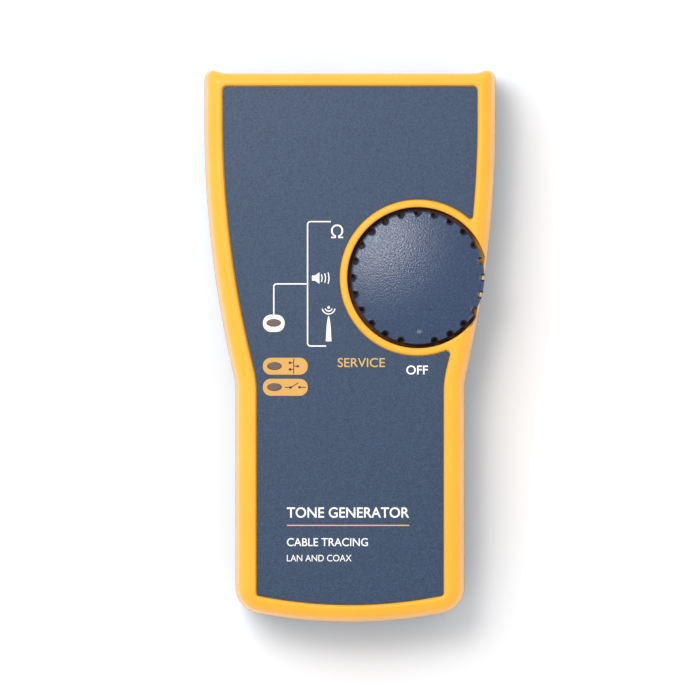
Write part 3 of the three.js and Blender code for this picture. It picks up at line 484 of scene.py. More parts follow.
def turned(name, profile, n=64):
    """A profile of (radius, z), from axis to axis or closed on itself, turned about Z."""
    turns = [2 * math.pi * i / n for i in range(n)]
    rings = [[(r * math.cos(t), r * math.sin(t), z) for t in turns] for r, z in profile]
    starts_on_axis = profile[0][0] == 0
    if not starts_on_axis:
        rings.append(rings[0])
    return skin(name, rings, closed_ends=False)


def place(obj, x=0.0, y=0.0, z=0.0, along="Z", spin=0.0):
    """Moves a mesh's own points: spun about Z, its axis laid along Y if asked, then shifted."""
    turn = Matrix.Rotation(spin, 4, "Z")
    if along == "Y":
        turn = Matrix.Rotation(-math.pi / 2, 4, "X") @ turn
    obj.data.transform(Matrix.Translation((x, y, z)) @ turn)
    return obj


def boolean(obj, others, operation):
    """Applies cutters or additions to obj and removes them."""
    for other in others:
        mod = obj.modifiers.new("cut", "BOOLEAN")
        mod.operation = operation
        mod.object = other
        mod.solver = "EXACT"
        bpy.context.view_layer.update()
        deps = bpy.context.evaluated_depsgraph_get()
        made = bpy.data.meshes.new_from_object(obj.evaluated_get(deps))
        obj.modifiers.clear()
        obj.data = made
        bpy.data.objects.remove(other)
    return obj


def cut(obj, *others):
    return boolean(obj, others, "DIFFERENCE")


def add(obj, *others):
    return boolean(obj, others, "UNION")


def keep(obj, *others):
    return boolean(obj, others, "INTERSECT")


def cylinder(x, y, r, z0, z1, n=48):
    return loft("cylinder", circle(x, y, r, n), block(z0, z1, 0))


def posts(points, r, z0, z1, n=48):
    return [cylinder(p.x, p.y, r, z0, z1, n) for p in points]


def slab(x0, x1, y0, y1, z0, z1, r=0.0, edge=0.0):
    """A block with its upright corners rounded by r and its flat sides' edges by edge."""
    return loft("slab", rounded(x0, x1, y0, y1, max(r, 0.01), 6 if r else 1), block(z0, z1, edge))


NORMAL_WEIGHT = 90


def piece(obj, name, body, slot, replaces=(), finish=None, sharp=32, weighted=True):
    """Turns a built shape into a finished piece: metres, shading, material, body and slot.

    Edges sharper than sharp degrees stay sharp. weighted keeps flats flat beside rounded edges.
    """
    obj.name = name
    obj.data.name = name
    clean(obj)
    obj.data.transform(Matrix.Scale(MM, 4))
    obj.data.materials.clear()
    obj.data.materials.append(FINISH[finish or slot])
    for face in obj.data.polygons:
        face.use_smooth = True
        face.material_index = 0
    obj.data.set_sharp_from_angle(angle=math.radians(sharp))
    if weighted:
        mod = obj.modifiers.new("normals", "WEIGHTED_NORMAL")
        mod.keep_sharp = True
        mod.weight = NORMAL_WEIGHT
    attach(obj, body)
    if replaces:
        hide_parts(*replaces)
    return obj


# ---- case ----

SCREWS = [centre_mm(f"case_screw_{i}") for i in range(1, 5)]
FEET = [centre_mm(f"rubber_foot_{i}") for i in range(1, 5)]
BOARD_SCREWS = [centre_mm(f"board_screw_{i}") for i in range(1, 4)]
WINDOWS = [centre_mm(f"light_pipe_{i}") for i in range(1, 4)]


def cavity(d, z0, z1):
    return loft("cavity", lambda inset: case_loop(d + inset, d + inset), [(z0, 0), (z1, 0)])


# The side walls' inset where the rounding to the crest starts, at z, and where it ends.
RIM = dict(z=29, start=0.9, end=3.6)
BOSS = dict(case_r=3, case_bore=1.6, case_depth=27.5, board_r=2.2, board_bore=1.2, board_z=21.1,
            board_depth=28, top=30.2)
# Cutters and posts on the dial's axis start here, below all that they meet.
UNDER_Z = 20
# Under the dial's ring the hollow starts lower, at the seat, and the shaft passes through a hole.
SEAT_Z = 24.2
SHAFT_HOLE_R = 5.4
# Half the width of the connector panel's opening in both shells.
END_HALF = 29


def on_dial(r, z0, z1, n=48):
    return cylinder(DIAL.x, DIAL.y, r, z0, z1, n)


def front_loop(d):
    """The case's outline with a top edge that stays upright until the shell's rim turns over."""
    return case_loop(d, 0.8 * max(d - RIM["start"], 0))


def front_shell():
    """The yellow shell: walls, rim, bosses, the face's recess, the dial's well and the windows."""
    base = PARTING_Z + SEAM
    levels = [(base, 0.22), (base + 0.08, 0.07), (base + 0.25, 0.02), (20, 0.25), (24, 0.45),
              (RIM["z"], RIM["start"])]
    shell = loft("front", front_loop, levels + ellipse(RIM["z"], RIM["start"], CREST_Z, RIM["end"]))
    seat = on_dial(RING_R, SEAT_Z, PAST_SIDE, 96)
    cut(shell, cut(cavity(WALL, 10, CEILING_Z), seat))
    add(shell, *posts(SCREWS, BOSS["case_r"], base, BOSS["top"]),
        *posts(BOARD_SCREWS, BOSS["board_r"], BOSS["board_z"], BOSS["top"], 32))
    cut(shell, *posts(SCREWS, BOSS["case_bore"], 0, BOSS["case_depth"], 24))
    cut(shell, *posts(BOARD_SCREWS, BOSS["board_bore"], 0, BOSS["board_depth"], 20))
    cut(
        shell,
        loft("recess", recess_loop, pocket(FLOOR_Z, CREST_Z, 0.8, fillet=0.04, steps=8)),
        loft("well", circle(DIAL.x, DIAL.y, WELL_R, 144),
             pocket(WELL_FLOOR_Z, CREST_Z, 0.6, fillet=0.3, steps=8)),
        on_dial(SHAFT_HOLE_R, UNDER_Z, 30),
        *[loft("hole", oval(w.x, w.y, *WINDOW["shell"]), [(25, 0), (36, 0)]) for w in WINDOWS],
        loft("end", rounded(-END_HALF, END_HALF, 62, PAST_TOP, 0.01, 1), [(0, 0), (29.5, 0)]),
    )
    return piece(shell, "Front_Shell", "case", "case_yellow", ["front_shell"])


def faceplate():
    """The printed face sheet, with a fine rounded edge outside and at its windows."""
    sheet = loft("sheet", recess_loop,
                 [(FLOOR_Z + 0.01, 0.15), (32.35, 0.15), (32.385, 0.17), (OVERLAY_Z, 0.22)])
    edge = [(25, 0), (32.3, 0), (32.36, -0.01), (32.4, -0.05), (36, -0.05)]
    cut(sheet, *[loft("hole", oval(w.x, w.y, *WINDOW["overlay"]), edge) for w in WINDOWS])
    return piece(sheet, "Faceplate_Overlay", "case", "face_overlay", ["faceplate_overlay"])


front_shell()
faceplate()

# ---- dial ----

# The top's rounded edge, and how fast the flutes widen as the edge turns in.
KNOB_EDGE_R = 0.75
FLUTE_SPREAD = 0.88
KNOB_EDGE_STEPS = 8
# The dome falls by drop at the radius r, steepening towards the rim.
DOME = dict(drop=1.25, r=16.3, power=2.2)
# Inside this radius the dome's rings are round and no longer follow the flutes.
ROUND_FROM_R = 14.5
# The knob's inside: a hollow round a hub, with a shaft and its key below and a bore for the screw.
KNOB = dict(hollow_r=15, hollow_top=31.4, hub_r=8.3, shaft_r=4.9, shaft_z=23.9, key=2.5, key_z=22.3,
            bore_r=1.5, bore_top=29.5)
# (z, inset, flute radius) levels of the knob's side.
SKIRT = [(26.7, 0.3, 0.3), (27.0, 0, 0.55), (30.6, 0, 0.58), (31.5, 0, 0.66), (31.8, 0, 0.98)]
# (radius, depth) of the pointer dimple.
DISH = [(0, -0.13), (0.35, -0.12), (0.7, -0.08), (1.0, -0.02), (1.2, 0.04), (1.28, 0.12), (1.28, 1), (0, 1)]


def fluted(d, flute_r, n_flute=10, n_rim=5):
    """The knob's outline at inset d: a flute every 15 degrees, and none below the pointer."""
    rim, flute = KNOB_R - d, flute_r + d
    half = math.acos((rim**2 + FLUTE_CENTRE**2 - flute**2) / (2 * rim * FLUTE_CENTRE))
    step = 2 * math.pi / FLUTE_PITCHES
    points = []
    for i in range(FLUTE_PITCHES):
        a = -math.pi / 2 + step * i
        if i:
            fx, fy = FLUTE_CENTRE * math.cos(a), FLUTE_CENTRE * math.sin(a)
            ex, ey = rim * math.cos(a - half), rim * math.sin(a - half)
            start = math.atan2(ey - fy, ex - fx)
            sweep = (start - (a + math.pi)) % (2 * math.pi)
            turns = [start - 2 * sweep * k / n_flute for k in range(n_flute + 1)]
            points += [(fx + flute * math.cos(t), fy + flute * math.sin(t)) for t in turns]
        else:
            points += arc(0, 0, rim, a - half, a + half, n_flute)
        points += arc(0, 0, rim, a + half, a + step - half, n_rim)[1:-1]
    return points


def dome(r):
    """The height of the knob's top at radius r."""
    return KNOB_TOP_Z - DOME["drop"] * (r / DOME["r"]) ** DOME["power"]


def knob():
    """A fluted cap with a rounded rim, a shallow dome and a pointer dimple."""
    brim = fluted(KNOB_EDGE_R, FLUTE_R - KNOB_EDGE_R * FLUTE_SPREAD)
    rings = [[(x, y, z) for x, y in fluted(d, flute_r)] for z, d, flute_r in SKIRT]
    for a in quarter(KNOB_EDGE_STEPS):
        inset = KNOB_EDGE_R * (1 - math.cos(a))
        drop = KNOB_EDGE_R * (1 - math.sin(a))
        ring = fluted(inset, FLUTE_R - inset * FLUTE_SPREAD)
        rings.append([(x, y, dome(math.hypot(*f)) - drop) for (x, y), f in zip(ring, brim)])
    for t in (0.35, 0.7, 1.0):
        ring = []
        for x, y in brim:
            r = math.hypot(x, y)
            to = r + (ROUND_FROM_R - r) * t
            ring.append((x * to / r, y * to / r, dome(to)))
        rings.append(ring)
    for share in (0.94, 0.86, 0.76, 0.64, 0.5, 0.36, 0.22, 0.1):
        to = ROUND_FROM_R * share
        rings.append([(x * to / math.hypot(x, y), y * to / math.hypot(x, y), dome(to)) for x, y in brim])
    cap = place(skin("knob", rings), DIAL.x, DIAL.y)
    hollow = on_dial(KNOB["hollow_r"], UNDER_Z, KNOB["hollow_top"], 72)
    cut(cap, cut(hollow, on_dial(KNOB["hub_r"], UNDER_Z - 1, 33)))
    key = KNOB["key"]
    add(cap, on_dial(KNOB["shaft_r"], KNOB["shaft_z"], 31),
        slab(DIAL.x - key, DIAL.x + key, DIAL.y - key, DIAL.y + key, KNOB["key_z"], 25))
    cut(cap, on_dial(KNOB["bore_r"], UNDER_Z, KNOB["bore_top"], 24))
    cut(cap, place(turned("dish", DISH, 48), DIAL.x, DIAL.y - POINTER_R, dome(POINTER_R) - 0.04))
    return piece(cap, "Dial_Knob", "dial", "knob_slate", ["dial_knob"], sharp=50)


knob()

for i, window in enumerate(WINDOWS, 1):
    guide = loft("guide", oval(window.x, window.y, *WINDOW["guide"]), block(22.2, 32.38, 0, 0.18))
    add(guide, loft("flange", oval(window.x, window.y, *WINDOW["flange"]), block(28.9, 29.8, 0.1)))
    piece(guide, f"Light_Guide_{i}", "case", "smoked_window", [f"light_pipe_{i}"])

# ---- prints on the face ----

# Ink floats this far above the surface it is printed on.
PRINT_GAP = 0.012
PRINT_Z = OVERLAY_Z + PRINT_GAP
# A cutter for ink reaches this far above and below it.
INK_REACH = 1
BEND_STEPS = 8


def flat(loop):
    """A thin layer of ink with the outline of loop."""
    return loft("ink", lambda d: loop, [(PRINT_Z, 0), (PRINT_Z + PRINT_THICK, 0)])


def ink_cutter(loop):
    return loft("hole", loop, [(PRINT_Z - INK_REACH, 0), (PRINT_Z + INK_REACH, 0)])


def stroke(points, width, closed=False):
    """A line of ink along points, which is mitred where it turns."""
    pts = [Vector(p) for p in points]
    n = len(pts)

    def side(sign):
        out = []
        for i, p in enumerate(pts):
            before = pts[(i - 1) % n] if closed or i else p
            after = pts[(i + 1) % n] if closed or i < n - 1 else p
            along = ((p - before).normalized() + (after - p).normalized()).normalized()
            out.append((p.x - sign * along.y * width / 2, p.y + sign * along.x * width / 2))
        return out

    if closed:
        ring = flat(side(-1))
        return cut(ring, ink_cutter(lambda d: side(1)))
    return flat(side(-1) + side(1)[::-1])


def bend(x, y, r, a0, a1):
    """A quarter turn in a printed line, in degrees."""
    return arc(x, y, r, math.radians(a0), math.radians(a1), BEND_STEPS)


def words(body, x0, x1, y, cap, weight=0.0):
    """Plain lettering from x0 to x1, centred on y, with capitals cap high. weight thickens its strokes."""
    curve = bpy.data.curves.new("words", "FONT")
    curve.body = body
    curve.offset = weight
    # Any thickness does, since the points are set to the ink's own below.
    curve.extrude = 0.01
    curve.resolution_u = 6
    holder = linked("words", curve)
    bpy.context.view_layer.update()
    deps = bpy.context.evaluated_depsgraph_get()
    mesh = bpy.data.meshes.new_from_object(holder.evaluated_get(deps))
    bpy.data.objects.remove(holder)
    obj = linked("words", mesh)
    xs, ys = [v.co.x for v in mesh.vertices], [v.co.y for v in mesh.vertices]
    sx, sy = (x1 - x0) / (max(xs) - min(xs)), cap / (max(ys) - min(ys))
    for v in mesh.vertices:
        v.co.x = x0 + (v.co.x - min(xs)) * sx
        v.co.y = y - cap / 2 + (v.co.y - min(ys)) * sy
        v.co.z = PRINT_Z + (PRINT_THICK if v.co.z > 0 else 0)
    return obj


def joined(objs):
    """Separate shapes as one mesh."""
    bm = bmesh.new()
    for obj in objs:
        bm.from_mesh(obj.data)
        bpy.data.objects.remove(obj)
    mesh = bpy.data.meshes.new("joined")
    bm.to_mesh(mesh)
    bm.free()
    return linked("joined", mesh)


def ink(obj, name, finish):
    return piece(obj, name, "case", "face_overlay", finish=finish, weighted=False)


def window_hole(at):
    return ink_cutter(oval(at.x, at.y, *WINDOW["ink"]))


# The lines that lead from the lamp to the dial's marks.
LINE = 0.34
BRACKET = dict(x=-10.9, top=32.1, bottom=0.15, top_end=-4.95, bottom_end=-6.15, r=0.8)
BRANCH = dict(x=-19.57, y=16.1, end=8.0, r=0.7)
bracket = [(BRACKET["top_end"], BRACKET["top"])]
bracket += bend(BRACKET["x"] + BRACKET["r"], BRACKET["top"] - BRACKET["r"], BRACKET["r"], 90, 180)
bracket += bend(BRACKET["x"] + BRACKET["r"], BRACKET["bottom"] + BRACKET["r"], BRACKET["r"], 180, 270)
bracket += [(BRACKET["bottom_end"], BRACKET["bottom"])]
ink(stroke(bracket, LINE), "Print_Bracket", "print_white")
branch = [(BRACKET["x"], BRANCH["y"])]
branch += bend(BRANCH["x"] + BRANCH["r"], BRANCH["y"] - BRANCH["r"], BRANCH["r"], 90, 180)
branch += [(BRANCH["x"], BRANCH["end"])]
ink(stroke(branch, LINE), "Print_Branch", "print_white")

lamp_surround = flat(rounded(-22.36, -16.78, 3.78, 8.2, 2.1, 8)(0))
ink(cut(lamp_surround, window_hole(WINDOWS[0])), "Print_Lamp_Surround", "print_white")

for i, (low_y, high_y) in enumerate(((-7.2, -2.86), (-12.62, -8.26)), 1):
    pill = flat(rounded(-22.38, -10.86, low_y, high_y, 2.05, 8)(0))
    ink(cut(pill, window_hole(WINDOWS[i])), f"Print_Pill_{i}", "print_orange")


def dot(x, y, r):
    return flat(circle(x, y, r, 20)(0))


def raised(obj):
    """Ink printed over other ink."""
    return place(obj, z=PRINT_THICK)


ICON_LINE = 0.22
ICON_DOT_R = 0.33
SPLIT_X = -14.45
split = [stroke([(SPLIT_X, -3.05), (SPLIT_X, -6.95)], ICON_LINE)]
split += [stroke([(SPLIT_X, y), (x, y)], 0.2) for x, y in ((-15.4, -4.15), (-15.4, -5.85), (-13.45, -5.03))]
split += [dot(x, y, ICON_DOT_R) for x, y in ((-15.45, -4.15), (-15.4, -5.85), (-13.4, -5.03))]
ink(raised(joined(split)), "Print_Split_Icon", "print_ink")
switch = [
    stroke([(-16.75, -10.46), (-15.3, -10.46)], ICON_LINE),
    dot(-15.25, -10.5, ICON_DOT_R),
    stroke([(-15.25, -10.5), (-13.25, -9.3)], ICON_LINE),
    dot(-12.95, -10.44, ICON_DOT_R),
    stroke([(-12.9, -10.44), (-11.35, -10.44)], ICON_LINE),
]
ink(raised(joined(switch)), "Print_Switch_Icon", "print_ink")

cone = [(-9.78, 16.95), (-9.05, 16.95), (-7.85, 16.15), (-7.85, 19.05), (-9.05, 18.25), (-9.78, 18.25)]
speaker = [flat(cone)]
speaker += [stroke(arc(-9.9, 17.6, r, -math.radians(w), math.radians(w), 10), 0.27)
            for r, w in ((2.72, 21), (3.6, 19.5), (4.5, 19))]
ink(joined(speaker), "Print_Speaker_Icon", "print_white")

TIP = (-5.49, 10.05)
probe = [dot(*TIP, 0.35)]
probe += [stroke(arc(*TIP, r, math.radians(180 + w), math.radians(360 - w), 16), 0.3)
          for r, w in ((0.93, 18), (1.68, 11))]
wand = [(-6.25, 1.5), (-6.13, 1.35), (-4.85, 1.35), (-4.73, 1.5), (-4.83, 2.6), (-4.92, 4.6), (-5.1, 6.5),
        (-5.36, 7.7), (-5.49, 7.9), (-5.62, 7.7), (-5.88, 6.5), (-6.06, 4.6), (-6.15, 2.6)]
probe.append(flat(wand))
ink(joined(probe), "Print_Probe_Icon", "print_white")

TEXT_X = -16.2
TITLE_END = 15.2
ink(words("\u03a9", -4.87, -1.75, 29.6, 3.5), "Print_Ohm", "print_white")
ink(words("SERVICE", -3.15, 8.95, -4.1, 2.35, 0.004), "Print_Service", "print_yellow")
ink(words("OFF", 14.45, 20.0, -6.0, 2.35, 0.012), "Print_Off", "print_white")
ink(words("TONE GENERATOR", TEXT_X, TITLE_END, -42.6, 2.7, 0.012), "Print_Title", "print_white")
ink(stroke([(TEXT_X, -45.9), (TITLE_END, -45.9)], 0.3), "Print_Rule", "print_yellow")
ink(words("CABLE TRACING", TEXT_X, 4.6, -50.2, 2.1, 0.006), "Print_Subtitle", "print_white")
ink(words("LAN AND COAX", TEXT_X, 0.4, -54.3, 1.7), "Print_Use", "print_white")

# ---- rear of the case ----

BAY = dict(x=13.7, y0=-65.7, y1=-13.5, top=21.8, wall=1.5)
DOOR = dict(x=14.6, y1=-14, top=2.8, corner_r=1.1, tongue_x=16, tongue_z=1.9, latch_x=9, latch_top=4.2,
            rail_x=17.9, rail_top=4.4)
GAP = 0.3
# The rear shell's rounded back meets its walls at z, where they are start inside the outline.
BACK_RIM = dict(z=5, start=0.8, end=4)
# The rear shell's wall ends in a fine line that stands this far proud.
PROUD = 0.03
# The label's recess: x, x, y, y and corner radius.
LABEL_WELL = (-17, 17, 4, 34, 1.5)
FOOT_R = 3.2
FOOT = [(0, 0), (2.2, 0), (2.75, 0.06), (3.05, 0.22), (3.18, 0.5), (FOOT_R, 0.8), (FOOT_R, 1.6), (0, 1.6)]
GRIP = dict(x=7, half=0.45, first_y=-61.2, pitch=1.9, count=5, height=0.3)


def rear_outer():
    """The rear shell's outside as a solid, which the battery door is cut from as well."""
    levels = ellipse(BACK_RIM["z"], BACK_RIM["start"], BACK_Z, BACK_RIM["end"])[::-1]
    levels += [(BACK_RIM["z"], BACK_RIM["start"]), (9, 0.3), (14.1, 0.02), (14.5, -PROUD), (14.78, -PROUD),
               (PARTING_Z - SEAM, 0.05)]
    return loft("rear", case_loop, levels)


def sink(loop, floor, flare):
    """A cutter that opens through the back."""
    return loft("sink", loop, pocket(floor, BACK_Z, flare, up=-1, fillet=0.05))


def rear_shell():
    """The dark shell: walls, battery bay and its rails, bosses and the recesses in its back."""
    shell = rear_outer()
    cut(shell, cavity(WALL, 3, CEILING_Z), cavity(1.3, PARTING_Z - 1.4, CEILING_Z))
    tub = slab(-BAY["x"] - BAY["wall"], BAY["x"] + BAY["wall"], BAY["y0"] - 3.2, BAY["y1"] + 1.4,
               2.9, BAY["top"] + BAY["wall"])
    cut(tub, slab(-PAST_SIDE, PAST_SIDE, PAST_BOTTOM, BAY["y0"] - 1.4, PARTING_Z - 1.5, PAST_SIDE))
    rails = slab(-DOOR["rail_x"], DOOR["rail_x"], -67, BAY["y1"] + 1.39, 2.88, DOOR["rail_top"])
    bosses = posts(SCREWS, 3.6, 2, PARTING_Z - SEAM)
    sides = ((-35.2, -END_HALF), (END_HALF, 35.2))
    ribs = [slab(x0, x1, 63.9, 65.6, 2.5, PARTING_Z - 1.6) for x0, x1 in sides]
    add(shell, tub, rails, *bosses, *ribs)
    door_x, tongue_x, latch_x = DOOR["x"] + GAP, DOOR["tongue_x"] + GAP, DOOR["latch_x"] + GAP
    cut(
        shell,
        slab(-BAY["x"], BAY["x"], BAY["y0"], BAY["y1"], PAST_BACK, BAY["top"]),
        sink(rounded(-door_x, door_x, PAST_BOTTOM, DOOR["y1"] + GAP, DOOR["corner_r"] + GAP),
             DOOR["top"] + GAP, 0.22),
        slab(-tongue_x, tongue_x, PAST_BOTTOM, -15.6, DOOR["tongue_z"] - GAP, DOOR["top"] + GAP),
        slab(-latch_x, latch_x, PAST_BOTTOM, BAY["y0"] + 1, 0, DOOR["latch_top"] + GAP),
        slab(-4, 4, BAY["y1"] - 1, BAY["y1"] + 2, 14.5, 19),
        *[sink(circle(s.x, s.y, 2.9), 4, 0.35) for s in SCREWS],
        *posts(SCREWS, 1.8, 3, 20, 32),
        *[sink(circle(f.x, f.y, FOOT_R + 0.2), BACK_Z + 0.7, 0.15) for f in FEET],
        sink(rounded(*LABEL_WELL), BACK_Z + 0.3, 0.12),
        slab(-END_HALF, END_HALF, 66, PAST_TOP, 3.6, 30),
    )
    return piece(shell, "Rear_Shell", "case", "case_dark", ["rear_shell"])


def arrow_loop(d):
    """The opening arrow's triangle at inset d."""
    return [(-2.2 + d, -49.2 - d * 0.5), (0, -53 + d * 1.4), (2.2 - d, -49.2 - d * 0.5)]


def battery_door():
    """The door: a slice of the rear shell's outside with tongues, a latch bar, grip ribs and an arrow."""
    door = rear_outer()
    plan = loft("plan", rounded(-DOOR["x"], DOOR["x"], PAST_BOTTOM, DOOR["y1"], DOOR["corner_r"]),
                [(PAST_BACK, 0.24), (BACK_Z + 0.02, 0.24), (BACK_Z + 0.1, 0.09), (BACK_Z + 0.26, 0),
                 (DOOR["top"], 0)])
    tongues = slab(-DOOR["tongue_x"], DOOR["tongue_x"], PAST_BOTTOM, -16,
                   DOOR["tongue_z"], DOOR["top"] - 0.01)
    latch = slab(-DOOR["latch_x"], DOOR["latch_x"], PAST_BOTTOM, BAY["y0"] - 0.4,
                 DOOR["top"] - 0.1, DOOR["latch_top"])
    keep(door, add(plan, tongues, latch))
    grip_ys = [GRIP["first_y"] + GRIP["pitch"] * i for i in range(GRIP["count"])]
    grips = [slab(-GRIP["x"], GRIP["x"], y - GRIP["half"], y + GRIP["half"],
                  BACK_Z - GRIP["height"], BACK_Z + GRIP["height"], 0.44, 0.25) for y in grip_ys]
    arrow = loft("arrow", arrow_loop, [(BACK_Z - 0.18, 0.2), (BACK_Z, 0), (BACK_Z + 0.3, 0)])
    add(door, *grips, arrow)
    return piece(door, "Battery_Door", "battery_door", "case_dark", ["battery_door"])


rear_shell()
battery_door()

for i, foot in enumerate(FEET, 1):
    pad = place(turned("foot", FOOT), foot.x, foot.y)
    piece(pad, f"Rubber_Foot_{i}", "case", "foot_rubber", [f"rubber_foot_{i}"])

label_low, label_high = box_mm("rating_label")
label = loft("label", rounded(label_low.x, label_high.x, label_low.y, label_high.y, 1.3),
             [(label_low.z, 0.06), (label_low.z + 0.05, 0), (label_high.z, 0)])
piece(label, "Rating_Label", "case", "label_foil", ["rating_label"])


def below(ink_shape, z):
    """Turns ink over so that it lies under the height z and reads from below."""
    turn = Matrix.Rotation(math.pi, 4, "Y")
    ink_shape.data.transform(Matrix.Translation((0, 0, z + PRINT_Z - PRINT_GAP)) @ turn)
    return ink_shape


def label_line(points, closed=False):
    """A printed line on the underside of the blank label."""
    return below(stroke(points, 0.28, closed), label_low.z)


MARGIN = 1.2
left, right = label_low.x + MARGIN, label_high.x - MARGIN
border = rounded(left, right, label_low.y + MARGIN, label_high.y - MARGIN, 0.8)(0)
fields = [label_line(border, closed=True)]
fields += [label_line([(left, y), (right, y)]) for y in (14.0, 24.0)]
piece(joined(fields), "Label_Border", "case", "label_foil", finish="print_ink", weighted=False)

# Radius and top of each kind of screw's head, the shank's radius, and the recess's arms and depth.
SCREW = dict(
    case=dict(head_r=2.5, head=1.95, shank=1.4, cross=1.35, slot=0.9),
    board=dict(head_r=2.0, head=1.65, shank=1.0, cross=1.1, slot=0.9),
    rotor=dict(head_r=4.3, head=1.45, shank=1.2, cross=2.2, slot=0.7),
)
THREAD_PITCH = 0.7
ARM_HALF = 0.34


def screw(node, body):
    """A pan head with a cross recess below, and a threaded shank above."""
    low, high = box_mm(node)
    kind = SCREW[node.split("_")[0]]
    head_r, shank = kind["head_r"], kind["shank"]
    head_top = low.z + kind["head"]
    profile = [(0, low.z), (head_r * 0.55, low.z + 0.02), (head_r * 0.82, low.z + 0.2),
               (head_r * 0.96, low.z + 0.55), (head_r, low.z + 0.9), (head_r, head_top),
               (shank * 0.98, head_top)]
    z = head_top + 1.2
    while z < high.z - 1.4:
        profile += [(shank * 0.8, z), (shank, z + THREAD_PITCH / 2)]
        z += THREAD_PITCH
    profile += [(shank * 0.78, high.z - 0.5), (0, high.z)]
    shape = turned("screw", profile, 40)
    cross = kind["cross"]
    corners = ((-cross, -ARM_HALF), (cross, -ARM_HALF), (cross, ARM_HALF), (-cross, ARM_HALF))
    # (height from below the head, share of the arm's width there)
    taper = ((0, 1.15), (0.3 + kind["slot"], 0.6))
    rings = [[(x * w, y * w, low.z - 0.3 + h) for x, y in corners] for h, w in taper]
    arms = [skin("arm", rings), place(skin("arm", rings), spin=math.pi / 2)]
    cut(shape, *arms)
    place(shape, (low.x + high.x) / 2, (low.y + high.y) / 2)
    return piece(shape, node.title(), body, "steel", [node])


for i in range(1, 5):
    screw(f"case_screw_{i}", "case")
for i in range(1, 4):
    screw(f"board_screw_{i}", "case")
screw("rotor_screw", "dial")

# ---- battery and door pad ----

CELL_LOW, CELL_HIGH = box_mm("battery_case")
CELL_MID = (CELL_LOW.z + CELL_HIGH.z) / 2


def battery_case():
    """A block battery's jacket, crimped at both ends."""
    half = (CELL_HIGH.z - CELL_LOW.z) / 2
    near, far = CELL_LOW.y, CELL_HIGH.y
    crimp = [(0, 1.0), (0.08, 0.5), (0.4, 0.08), (0.8, 0), (1.1, 0.14), (1.5, 0.14), (1.8, 0)]
    levels = [(near + y, d) for y, d in crimp] + [(far - y, d) for y, d in reversed(crimp)]
    jacket = loft("jacket", rounded(CELL_LOW.x, CELL_HIGH.x, -half, half, 2.2), levels)
    place(jacket, z=CELL_MID, along="Y")
    return piece(jacket, "Battery_Case", "case", "sleeve_dark", ["battery_case"])


battery_case()

# The wrapper's band stands this far proud of the jacket, and its signs are on it.
BAND_PROUD = 0.05
SIGN_X = 7.3
SIGN_Y = -29.5
SIGN_ARM = 1.5
SIGN_LINE = 0.6
band = slab(CELL_LOW.x + 2.6, CELL_HIGH.x - 2.6, -36, -23, CELL_LOW.z - BAND_PROUD, CELL_LOW.z + 0.02, 1.2)
piece(band, "Battery_Band", "case", "sleeve_dark", finish="spring_brass")
marks = [stroke([(x - SIGN_ARM, SIGN_Y), (x + SIGN_ARM, SIGN_Y)], SIGN_LINE) for x in (-SIGN_X, SIGN_X)]
marks.insert(1, stroke([(-SIGN_X, SIGN_Y - SIGN_ARM), (-SIGN_X, SIGN_Y + SIGN_ARM)], SIGN_LINE))
marks = below(joined(marks), CELL_LOW.z - BAND_PROUD)
piece(marks, "Battery_Marks", "case", "sleeve_dark", finish="print_ink", weighted=False)


def terminal(obj, name, node):
    """Stands a shape turned about Z on the battery's end, in place of a CAD terminal."""
    low, high = box_mm(node)
    piece(place(obj, (low.x + high.x) / 2, low.y, CELL_MID, "Y"), name, "case", "nickel", [node])


stud = [(0, 0), (2.6, 0), (2.45, 0.35), (2.4, 1.3), (2.78, 1.75), (2.8, 2.1), (2.5, 2.5), (0, 2.6)]
terminal(turned("stud", stud, 40), "Battery_Stud", "battery_terminal_positive")
socket = [(3.0, 0.3), (3.6, 0), (4.05, 0.1), (4.15, 1.3), (4.18, 2.2), (3.95, 2.6), (3.5, 2.5), (3.1, 2.1),
          (2.98, 1.4)]
petals = turned("petals", socket, 48)
cut(petals, *[place(slab(2.5, 5, -0.3, 0.3, 0.8, 3), spin=math.radians(60 * k + 30)) for k in range(6)])
terminal(petals, "Battery_Petals", "battery_terminal_negative")


def door_pad():
    """The foam strip that keeps the battery from rattling: flat on the door, crowned on top."""
    low, high = box_mm("door_pad")
    rise = [(0, 0.3), (0.06, 0.1), (0.2, 0.02), (0.55, 0), (0.85, 0.08), (1.05, 0.35), (1.16, 0.9),
            (1.24, 1.8), (1.3, 3.2), (1.34, 5), (1.37, 7), (1.38, 8.6)]
    foam = loft("foam", rounded(low.x, high.x, low.y, high.y, 1.2, 8), [(low.z + z, d) for z, d in rise])
    foam = piece(foam, "Door_Pad", "battery_door", "foam", ["door_pad"], sharp=60)


door_pad()

# ---- connector end ----

PORT = centre_mm("coax_barrel")
BARREL_R = 4.7
BORE_R = 3.6
COLLAR_R = 5.6
NUT_R = 6.5
# The start and end of the nut and of the barrel's thread, along Y.
NUT_Y = (60.9, 63.0)
THREAD_Y = (63.4, 68.0)
COAX_PITCH = 0.79
COAX_DEPTH = 0.32


def coax_piece(obj, name, node, slot):
    """Lays a shape turned about Z along the coax port's axis, in place of a CAD node."""
    piece(place(obj, PORT.x, 0, PORT.z, "Y"), name, "case", slot, [node])


def thread(y0, y1, r):
    """A coax thread's crests as rings of (radius, y)."""
    rings, y = [], y0
    while y < y1:
        rings += [(r - COAX_DEPTH, y), (r - COAX_DEPTH, y + COAX_PITCH * 0.12), (r, y + COAX_PITCH * 0.45),
                  (r, y + COAX_PITCH * 0.62)]
        y += COAX_PITCH
    return rings


